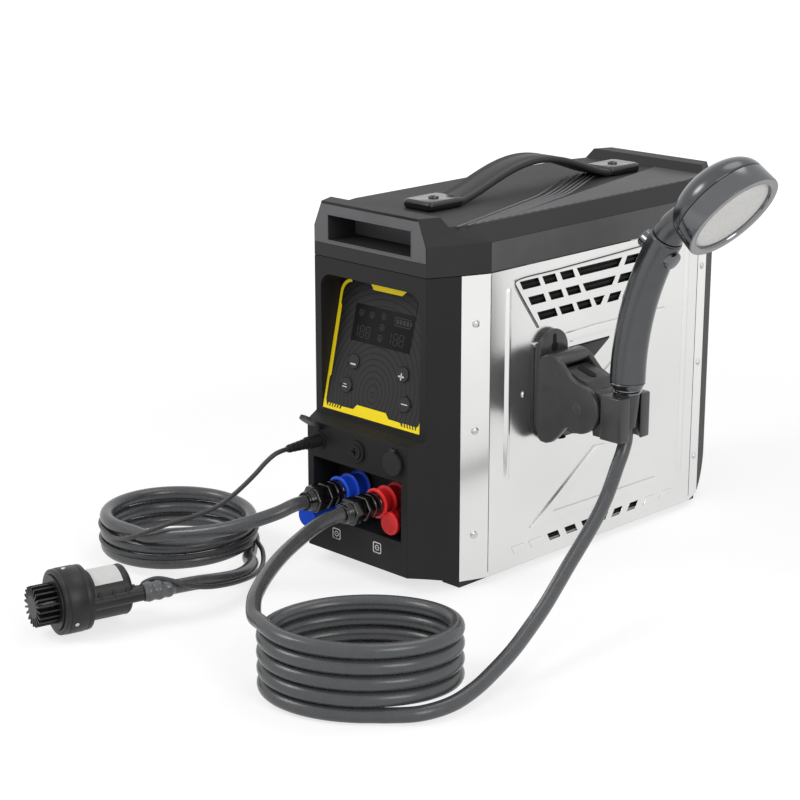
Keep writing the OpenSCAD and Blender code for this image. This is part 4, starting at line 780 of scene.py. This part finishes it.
cut("display_film", "window", on_slope,
    ([(-38.3, 64), (33, 64), (33.6, 96.5), (-37.6, 96.5)], 1.56, 1.7), slot="window", bevel=0.02)
for place in frame["nodes"]["display_window"].material_slots:
    place.material = M["panel_grey"]
marks = Build(on_slope)
# A digit's seven bars as shares of its width and height, and its size on the film
SEGMENTS = [(0.14, 0.94, 0.86, 1), (0.14, 0.47, 0.86, 0.53), (0.14, 0, 0.86, 0.06),
            (0, 0.56, 0.14, 0.92), (0, 0.08, 0.14, 0.44), (0.86, 0.56, 1, 0.92),
            (0.86, 0.08, 1, 0.44)]
DIGIT_V, DIGIT_W, DIGIT_H = 67.9, 5.4, 10.4


def printed(u0, v0, u1, v1):
    marks.box((u0, v0, PRINT[0]), (u1, v1, PRINT[1]))


def digit(u, bars=SEGMENTS):
    for a, b, c, d in bars:
        printed(u + a * DIGIT_W, DIGIT_V + b * DIGIT_H, u + c * DIGIT_W, DIGIT_V + d * DIGIT_H)


for u in (-33, 7.6):
    digit(u - 3.4, SEGMENTS[5:])
    digit(u + 4.4)
    digit(u + 11.4)


def ring(build, u, v, r, wide, low, high, n=24):
    def spot(i, r):
        return u + r * cos(2 * pi * i / n), v + r * sin(2 * pi * i / n)

    for i in range(n):
        build.prism([spot(i, r), spot(i + 1, r), spot(i + 1, r - wide), spot(i, r - wide)],
                    low, high)


for u, v in ((-29.5, 89), (-17, 89), (-3, 90), (-3.2, 80.5), (-3.6, 71)):
    ring(marks, u, v, 3.0, 0.7, *PRINT)
    marks.prism([(u - 0.4, v - 1.6), (u + 0.4, v - 1.6), (u + 0.9, v), (u, v + 1.8), (u - 0.9, v)],
                *PRINT)
for sides in ((10.6, 84.6, 29.6, 85.3), (10.6, 91.6, 29.6, 92.3), (10.6, 85.3, 11.3, 91.6),
              (28.9, 85.3, 29.6, 91.6), (29.6, 87, 31, 90)):
    printed(*sides)
for u in (12.6, 16.6, 20.6, 24.6):
    printed(u, 86.4, u + 3, 90.6)
marks.done("display_marks", "digit", slot="window")


def sign(name, body, centre, bars):
    u, v = centre
    cut(name, "white_ink", on_slope,
        *[(rounded_rect(u - w / 2, v + up - h / 2, u + w / 2, v + up + h / 2, min(w, h) * 0.35, 3),
           *SIGN) for w, h, up in bars], body=body, slot="button_black")


KEYS = ((-30, 46), (30, 46), (-34.5, 24.5), (37, 21.5))
sign("minus_sign", "minus_key", (-30, 43.8), [(6.4, 1.3, 0)])
sign("plus_sign", "plus_key", (28.4, 43.8), [(6.8, 1.3, 0), (1.3, 6.4, 0)])
sign("mode_sign", "mode_key", (-36, 23.8), [(3.6, 0.8, 1.3), (5.6, 0.8, -1.0)])
sign("power_sign", "power_key", KEYS[3], [(7.6, 0.9, 0)])
wells = Build(on_slope)
for u, v in KEYS:
    ring(wells, u, v, 8.3, 1.2, 1.4, 1.62, 40)
wells.done("button_rims", "button_black", slot="panel_grey", sharp=50)

# ---- Chin: plain round-cornered marks over the two ports ----

CHIN_Y, CHIN_INK = -189.2, (0.0, 0.12)
for name, x, z in (("cold_mark", -25.5, 34.2), ("hot_mark", 25, 34.4)):
    def square(half, *corner):
        return rounded_rect(x - half, z - half, x + half, z + half, *corner)

    b = Build(lambda x, z, out: at(x, CHIN_Y - out, z))
    for part in border_of(square(5, 1.8), square(4, 1.2), *CHIN_INK):
        b.prism(*part)
    ring(b, x, z, 2.6, 0.8, *CHIN_INK)
    b.prism(square(0.5, 0.4, 3), *CHIN_INK)
    b.done(name, "white_ink")

# ---- Water ports: rubber sleeves and hanging caps ----

PORT_X, PORT_Z, FORWARD = 23, 74, (0, -1, 0)
SLEEVE = [(161, 8.4), (161, 10.2), (161.6, 10.4), (161.9, 12.4), (162.5, 13.2), (163.5, 13.2),
          (164.1, 12.4), (164.5, 10.6), (167, 10.3), (172, 10.3), (174.5, 10.6), (174.9, 12.4),
          (175.5, 13.2), (176.5, 13.2), (177.1, 12.4), (177.5, 10.6), (180, 10.3), (185, 10.3),
          (186.5, 10.6), (186.9, 12.4), (187.4, 13.2), (188.5, 13.2), (189.1, 12.4), (189.4, 10.6),
          (189.4, 8.4), (161, 8.4)]
for tag, x, dx, dz, y0, mat in (("cold", -PORT_X, -16, -21, 208, "rubber_blue"),
                                ("hot", PORT_X, 16, -14.5, 184.4, "rubber_red")):
    b = Build()
    b.lathe(SLEEVE, (x, 0, PORT_Z), FORWARD, 56)
    b.lathe([(y0 - 0.1, 0), (y0, 7.5), (y0 + 0.5, 9.6), (y0 + 1.2, 10.2), (y0 + 3.8, 10.2),
             (y0 + 4.6, 9.7), (y0 + 4.9, 8.6), (y0 + 4.6, 7.4), (y0 + 4.7, 0)],
            (x + dx, 0, PORT_Z + dz), FORWARD, 56)
    reach = sqrt(dx * dx + dz * dz)
    # The tether: distance out from the port and depth at each point
    way = [V(x + dx * d / reach, y, PORT_Z + dz * d / reach)
           for d, y in ((9.4, -173.6), (14, -174), (reach * 0.86, -176), (reach, -178.5),
                        (reach, -182), (reach, -y0 - 1))]
    b.add(*tube(smooth_path(way, 1.0), 3.0, 14, lambda *p: p))
    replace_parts(b.done(tag + "_sleeve_and_cap", mat, tag + "_sleeve", mat, sharp=50), tag + "_cap")

# ---- Nuts and hose fittings ----

def hexagon(x, flats):
    r = flats / 1.732
    return [(x + r * cos(radians(60 * i)), PORT_Z + r * sin(radians(60 * i))) for i in range(6)]


ends = []
for tag, x in (("cold", -PORT_X), ("hot", PORT_X)):
    def hex_piece(name, flats, low, high, body, bevel):
        return cut(tag + name, "fitting_black", lambda x, z, y: at(x, -y, z),
                   (hexagon(x, flats), low, high), body=body, slot="gloss_black", bevel=bevel,
                   segs=3, sharp=50)

    def round_piece(name, profile, body, sharp):
        turned(tag + name, "fitting_black", (x, 0, PORT_Z), FORWARD, 56, profile, body=body,
               slot="gloss_black", sharp=sharp)

    nut = hex_piece("_nut_hex", 20.8, 198.6, 207.4, tag + "_nut", 1.2)
    round_piece("_nut_barrel",
                [(190, 8.3), (190, 10.5), (190.5, 11), (191.6, 11), (192, 10.6), (193, 10.6),
                 (193.4, 11), (197.8, 11), (198.8, 10.6), (199.6, 9.4), (199.6, 8.3), (190, 8.3)],
                tag + "_nut", 50)
    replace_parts(nut, tag + "_union_nut")
    ends.append(hex_piece("_fitting_hex", 21.8, 210, 221.8, "case", 1.3))
    round_piece("_fitting_collar",
                [(203, 0), (203, 7.9), (209, 7.9), (209.4, 9.6), (210.2, 9.8), (221, 9.6),
                 (222, 8.9), (223.2, 8.2), (224.2, 8.9), (225.2, 8.3), (226, 8.9), (227, 8.3),
                 (228, 8.5), (229, 8), (229, 0)], "case", 60)
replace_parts(ends[0], "hose_fittings")

# ---- Shower holder ----

# The holder's middle plane, the arm's pivot and the axis of the cone clip
HOLDER_Y, PIVOT, CONE_X = -42, (139, 156), 175


def arc(cx, cz, r, a0, a1, n):
    return [(cx + r * cos(radians(a0 + (a1 - a0) * i / n)),
             cz + r * sin(radians(a0 + (a1 - a0) * i / n))) for i in range(n + 1)]


def holder(name, place, *prisms, material="holder_grey", body="case", **more):
    return cut(name, material, place, *prisms, body=body, slot="holder_grey", **more)


def panel_at(y, z, x):
    return at(x, HOLDER_Y + y, z)


def side_on(x, z, y):
    return at(x, HOLDER_Y + y, z)


base = holder("holder_plate", panel_at,
              (arc(-2.5, 196, 18.6, 0, 180, 24) + arc(0, 136, 22, 180, 360, 24), 92.6, 96.4),
              (arc(-2.5, 194, 19.4, 0, 180, 24) + arc(-1, 138, 20.4, 180, 360, 24), 90.1, 92.9),
              bevel=1.3, segs=3, sharp=60)
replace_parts(base, "holder_base")
# The keyhole is a near-black plate: painted shade in the slot.
holder("holder_keyhole", panel_at,
       (arc(-2.5, 199.5, 4.2, -238, 58, 18) + arc(-2.5, 208.5, 2.3, 10, 170, 10), 96.2, 96.55),
       material="painted_shade_and_seams")
cheek = [(95, 121), (99, 118.2), (105, 118), (111, 120.3), (118, 126.5), (126, 136)]
cheek += arc(*PIVOT, 22, -118, 84, 26)
cheek += [(136.5, 179.2), (130, 181.9), (124.5, 187), (119.5, 192), (113, 196.2), (105, 197.4),
          (98, 194.4), (95, 190.5)]
holder("holder_cheeks", side_on, (cheek, -22, -16), (cheek, 16, 22), bevel=2.0, segs=4, sharp=60)
holder("holder_hood", side_on,
       ([(95, 176), (94.6, 190), (97.5, 194), (103, 197), (109, 197.6), (115, 195.6), (119, 192),
         (118.6, 188.8), (114, 189.6), (108, 191), (103, 188), (101, 182)], -19.9, 19.9),
       bevel=0.8, segs=3, sharp=60)
holder("holder_web", side_on,
       ([(95, 121), (99, 118.2), (104, 118.2), (101.2, 156), (104, 192.5), (98, 192), (95, 189)],
        -16.6, 16.6), bevel=0.8)
barrel = arc(*PIVOT, 20.5, 128, 306, 26)
barrel += [(152, 134), (163, 134), (163, 172.5), (149, 172.8), (143.5, 179.4), (119, 186.4),
           (117.5, 184.2), (118, 180.6), (126.4, 172.2)]
arm = holder("arm_barrel", side_on, (barrel, -15.7, 15.7), body="arm", bevel=1.4, segs=3, sharp=60)
jaws = [([(160, 0), (160, s * 16.5), (163, s * 20), (182, s * 20), (184.4, s * 19.2), (185, s * 17),
          (185, s * 8.6)] + arc(CONE_X, 0, 11.4, 180, stop, 18)[::-1], 134, 172.5)
        for s, stop in ((-1, 322), (1, 38))]
holder("arm_jaws", lambda x, y, z: at(x, HOLDER_Y + y, z), *jaws, body="arm", bevel=1.3, segs=3,
       sharp=60)
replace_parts(arm, "holder_arm")
# The arm's slot is a near-black plate: painted shade in the opening.
holder("arm_slot",
       lambda a, b, out: at(131 + a * 0.961 + out * 0.275, HOLDER_Y + b,
                            183 - a * 0.275 + out * 0.961),
       (rounded_rect(-9, -4.2, 9.5, 4.2, 4.0, 8), 0.1, 0.55), material="painted_shade_and_seams", body="arm",
       bevel=0.1)
pin = arc(*PIVOT, 5.2, 0, 360, 30)[:-1]
holder("holder_pin_caps", side_on, (pin, -22.4, -21.2), (pin, 21.2, 22.4), bevel=0.5)
turned("holder_screw", "painted_shade_and_seams", (104.5, HOLDER_Y, 118.6), (0.25, 0, -1), 28,
       [(-1.2, 0), (-1.2, 3.4), (0.4, 3.6), (0.9, 3.0), (0.9, 0)], slot="holder_grey")

# ---- Hand shower ----

# The spray face's middle, the way it looks and the two ways in it
FACE, N = V(275.543, HOLDER_Y, 336.544), V(0.7826, 0, -0.6225)
ACROSS, ALONG = V(0, 1, 0), V(0.6225, 0, 0.7826)
GRIP_LONG = 141.2


def bend(cx, cz, r, a0, a1, n):
    return [V(cx - r * cos(radians(a)), HOLDER_Y, cz + r * sin(radians(a)))
            for a in [a0 + (a1 - a0) * i / n for i in range(n + 1)]]


def grip_radius(s):
    """A rounded lower end, a groove above it, a slow taper and a step at the neck."""
    d = s * GRIP_LONG
    if d < 5:
        return 11.6 + 2.9 * (d / 5) ** 0.7
    if abs(d - 6) < 0.7:
        return 14.4
    if d > GRIP_LONG - 1:
        return 13.6
    return 15.1 - 0.9 * d / GRIP_LONG


def neck_radius(s):
    return 12.4 if s < 0.01 else 13.0 + 6.0 * max(0, s - 0.55) ** 1.5


def shower(name, path, radius, sharp):
    return piece(name, *tube(path, radius, 56), "handset_grey", "hand_shower", "handset_grey",
                 sharp=sharp)


def on_head(name, material, sides, profile, slot="handset_grey", **more):
    return turned(name, material, FACE, N, sides, profile, body="hand_shower", slot=slot, **more)


grip = shower("shower_grip", bend(427, 182, 252, -1.1, 31, 160), grip_radius, 35)
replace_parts(grip, "handset_grip")
crown = [(-17.8 - 24.6 * i / 22, 42.0 * (1 - (i / 22) ** 2.3) ** 0.52) for i in range(1, 22)]
dome_piece = on_head("shower_dome", "handset_grey", 96,
                     [(-17.3, 0), (-17.3, 41.6), (-17.8, 42.0)] + crown + [(-42.4, 0)], sharp=50)
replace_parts(dome_piece, "handset_head")
shower("shower_neck", bend(252.138, 287.068, 48, 31.2, 84, 60), neck_radius, 50)
band = on_head("ring_side", "ring_metal", 128,
               [(-17, 34.4), (-17, 41.9), (-16.6, 42.3), (-1.5, 43.3), (-0.5, 43.0),
                (-0.05, 42.2), (-0.2, 41.9), (-3.5, 40.5), (-13.8, 40.2), (-13.9, 34.4),
                (-17, 34.4)], sharp=40)
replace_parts(band, "head_ring")
on_head("ring_face", "satin_metal", 128,
        [(-0.6, 37.4), (-0.15, 37.9), (0.0, 38.4), (-0.02, 41.8), (-0.4, 42.3), (-1.6, 42.0),
         (-1.6, 37.4), (-0.6, 37.4)], sharp=35)
on_head("ring_lip", "chrome", 128,
        [(-0.35, 38.2), (0.05, 37.7), (0.05, 37.0), (-0.6, 36.3), (-2.4, 35.9), (-3.8, 36.0),
         (-3.8, 38.2), (-0.35, 38.2)], sharp=60)
on_head("ring_seam", "painted_shade_and_seams", 96,
        [(-17.6, 41.0), (-17.6, 41.95), (-16.8, 42.0), (-16.8, 41.0), (-17.6, 41.0)])
spray = on_head("spray_face", "spray_white", 96,
                [(-13.6, 0), (-13.6, 39.8), (-4.2, 39.8), (-3.6, 36.4), (-3.0, 35.6), (-2.6, 33),
                 (-2.4, 20), (-2.3, 0)], slot="spray_white", sharp=40)
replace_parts(spray, "spray_plate")
dots = Build()
for r, n in ((7, 7), (14, 13), (21, 20), (28, 27)):
    for i in range(n):
        a = 2 * pi * i / n + r
        dots.lathe([(-0.2, 0), (-0.2, 0.55), (0.12, 0.5), (0.2, 0)],
                   FACE + r * (cos(a) * ACROSS + sin(a) * ALONG) - 2.45 * N, N, 8)
dots.done("spray_nozzles", "spray_white", "hand_shower", "spray_white")
button = turned("push_button", "ring_metal", (204.08, HOLDER_Y, 299.53), (-0.8846, 0, 0.4664), 56,
                [(-16.9, 0), (-16.9, 6.2), (-16.6, 7.2), (-15.6, 7.9), (-12, 8.0), (17.2, 8.0),
                 (18.7, 7.5), (19.5, 6.2), (19.8, 4.5), (19.9, 0)],
                body="stop", slot="handset_grey", sharp=50)
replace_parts(button, "stop_button")
# The cone nut: every fourth of its side lines is sunk, which leaves grip flutes
cone, n, pts = Build(), 48, []
for d, r in ((0, 8.5), (0.8, 8.8), (29.5, 11.0), (30, 10.6), (30.4, 9.6), (33, 9.3)):
    for i in range(n):
        rr = r * (1 - (0.045 if i % 4 == 0 and 2 < d < 29.8 else 0))
        t = 2 * pi * i / n
        pts.append((CONE_X + rr * cos(t), HOLDER_Y + rr * sin(t), nut_end.z + d))
cone.add(pts, wrap(6, n))
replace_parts(cone.done("cone_nut_body", "holder_grey", "cone_nut", "handset_grey", sharp=30),
            "handset_nut")
turned("cone_collar", "chrome", nut_end, UP, 56,
       [(29.8, 7), (29.8, 11.6), (30.3, 12.4), (31.2, 12.6), (31.8, 11.8), (32.3, 10.9),
        (36, 10.9), (38.4, 10.6), (38.4, 7), (29.8, 7)],
       body="cone_nut", slot="handset_grey", sharp=50)

# ---- Pump dressing ----

b = Build(on_pump)
for profile in (
        [(-61.4, 23.2), (-61.4, 26.2), (-60.6, 27.15), (-58, 27.3), (-57.4, 26.9), (-57.4, 23.2),
         (-61.4, 23.2)],
        [(-56.9, 23), (-56.9, 27.2), (-56.3, 27.5), (-42.6, 27.5), (-42, 27.2), (-42, 23),
         (-56.9, 23)],
        [(-41.6, 21.1), (-41.6, 26.8), (-40.9, 27.2), (-37.8, 27.1), (-36.6, 26.2), (-36.2, 24.0),
         (-35.6, 22.2), (-34.2, 21.25), (-34.2, 20.9), (-41.6, 21.1)],
        [(-3.4, 20.9), (-3.4, 21.2), (-2.4, 21.1), (-1.0, 20.2), (0.1, 18.2), (0.25, 16.8),
         (0.25, 12), (-3.4, 20.9)]):
    b.lathe(profile, sides=72)
b.done("pump_collar_bands", "pump_black", slot="gloss_black", sharp=45)
# A bare label, wrapped round the body
b = Build(on_pump)
LABEL_R, LABEL_ROWS, LABEL_COLS, pts, fcs = 21.16, 14, 24, [], []
for i in range(LABEL_ROWS + 1):
    for j in range(LABEL_COLS + 1):
        a = radians(-22 + 72 * j / LABEL_COLS)
        pts.append((-32 + 24.5 * i / LABEL_ROWS, -LABEL_R * sin(a), LABEL_R * cos(a)))
for i in range(LABEL_ROWS):
    for j in range(LABEL_COLS):
        k = i * (LABEL_COLS + 1) + j
        fcs.append([k, k + 1, k + LABEL_COLS + 2, k + LABEL_COLS + 1])
b.add(pts, fcs)
b.done("pump_blank_label", "label_white", slot="gloss_black", tidy=False)
b = Build(on_pump)
for a in (118, 238, 358):
    co, si = turn(a)
    dome(b, (-52, -27.3 * si, 27.3 * co), (0, -si, co), 1.9, 0.8, 0.3, 20)
b.done("pump_screws", "screw_steel", slot="screw_steel")
cut("pump_gussets", "pump_black", lambda y, z, x: on_pump(x, y, z),
    *[([(-10.5, 17.9), (-24.2, 3.4), (-14, 3)], x - 1.2, x + 1.2) for x in (-30, -18, -6)],
    slot="gloss_black", bevel=0.35)
b = Build(on_pump)
b.lathe([(-78, 0), (-78, 7.4), (-76, 8.4), (-62, 8.6), (-60, 8.6), (-60, 0)], sides=40)
for i in range(20):
    co, si = turn(18 * i + 9)
    b.box((-77, 8.4 * co - 0.25, 8.4 * si - 0.25), (-61, 8.4 * co + 0.25, 8.4 * si + 0.25))
b.done("pump_inner_screen", "screen_grey", slot="gloss_black", sharp=40)

# ---- Floor, world and lamps ----

def looked_at(tree):
    """1 where the camera, a mirror or glass looks, 0 where light only bounces."""
    ray = put(tree, "LightPath").outputs
    seen = ray["Is Camera Ray"]
    for kind in ("Is Glossy Ray", "Is Transmission Ray"):
        either = put(tree, "Math", {0: seen, 1: ray[kind]})
        either.operation = "MAXIMUM"
        seen = either.outputs[0]
    return seen


def pale_floor(colour, lit):
    """White where it is looked at, more so far out, with the object's shadow kept."""
    m = bpy.data.materials.new("pale_floor")
    m.use_nodes = True
    tree = m.node_tree
    tree.nodes.clear()
    far = put(tree, "VectorMath", {0: put(tree, "NewGeometry").outputs["Position"]})
    far.operation = "LENGTH"
    reach = put(tree, "MapRange", {"Value": far.outputs["Value"]}, From_Min=0.6, From_Max=1.5,
                To_Min=1 - lit * 0.72, To_Max=1 - lit * 0.2)
    plain = put(tree, "BsdfDiffuse", Color=colour)
    kept = put(tree, "BsdfDiffuse", Color=(lit, lit, lit, 1))
    glow = put(tree, "Emission", {"Strength": reach.outputs["Result"]})
    both = put(tree, "AddShader", {0: kept.outputs[0], 1: glow.outputs[0]})
    mix = put(tree, "MixShader", {0: looked_at(tree), 1: plain.outputs[0], 2: both.outputs[0]})
    put(tree, "OutputMaterial", {"Surface": mix.outputs[0]})
    return m


floor_me = bpy.data.meshes.new("floor")
floor_me.from_pydata([(-6, -6, 0), (6, -6, 0), (6, 6, 0), (-6, 6, 0)], [], [(0, 1, 2, 3)])
floor_me.materials.append(pale_floor((0.8, 0.8, 0.8, 1), 0.4))
show("floor", floor_me)

world = bpy.data.worlds.new("studio")
world.use_nodes = True
bpy.context.scene.world = world
tree = world.node_tree
back = tree.nodes["Background"]
back.inputs["Color"].default_value = (1, 1, 1, 1)
level = put(tree, "MapRange", {"Value": looked_at(tree)}, To_Min=0.42, To_Max=1.0)
tree.links.new(level.outputs["Result"], back.inputs["Strength"])

AIM = Vector((0, -0.1, 0.15))


def lamp(name, where, size, power):
    data = bpy.data.lights.new(name, "AREA")
    data.shape, data.size, data.energy = "DISK", size, power
    ob = show(name, data)
    ob.location = where
    ob.rotation_euler = (AIM - Vector(where)).to_track_quat("-Z", "Y").to_euler()


lamp("key", (-0.9, -1.5, 1.5), 0.8, 12)
lamp("fill", (1.7, -0.6, 1.0), 0.9, 10)
lamp("top", (0.1, 0.5, 1.9), 1.0, 5)
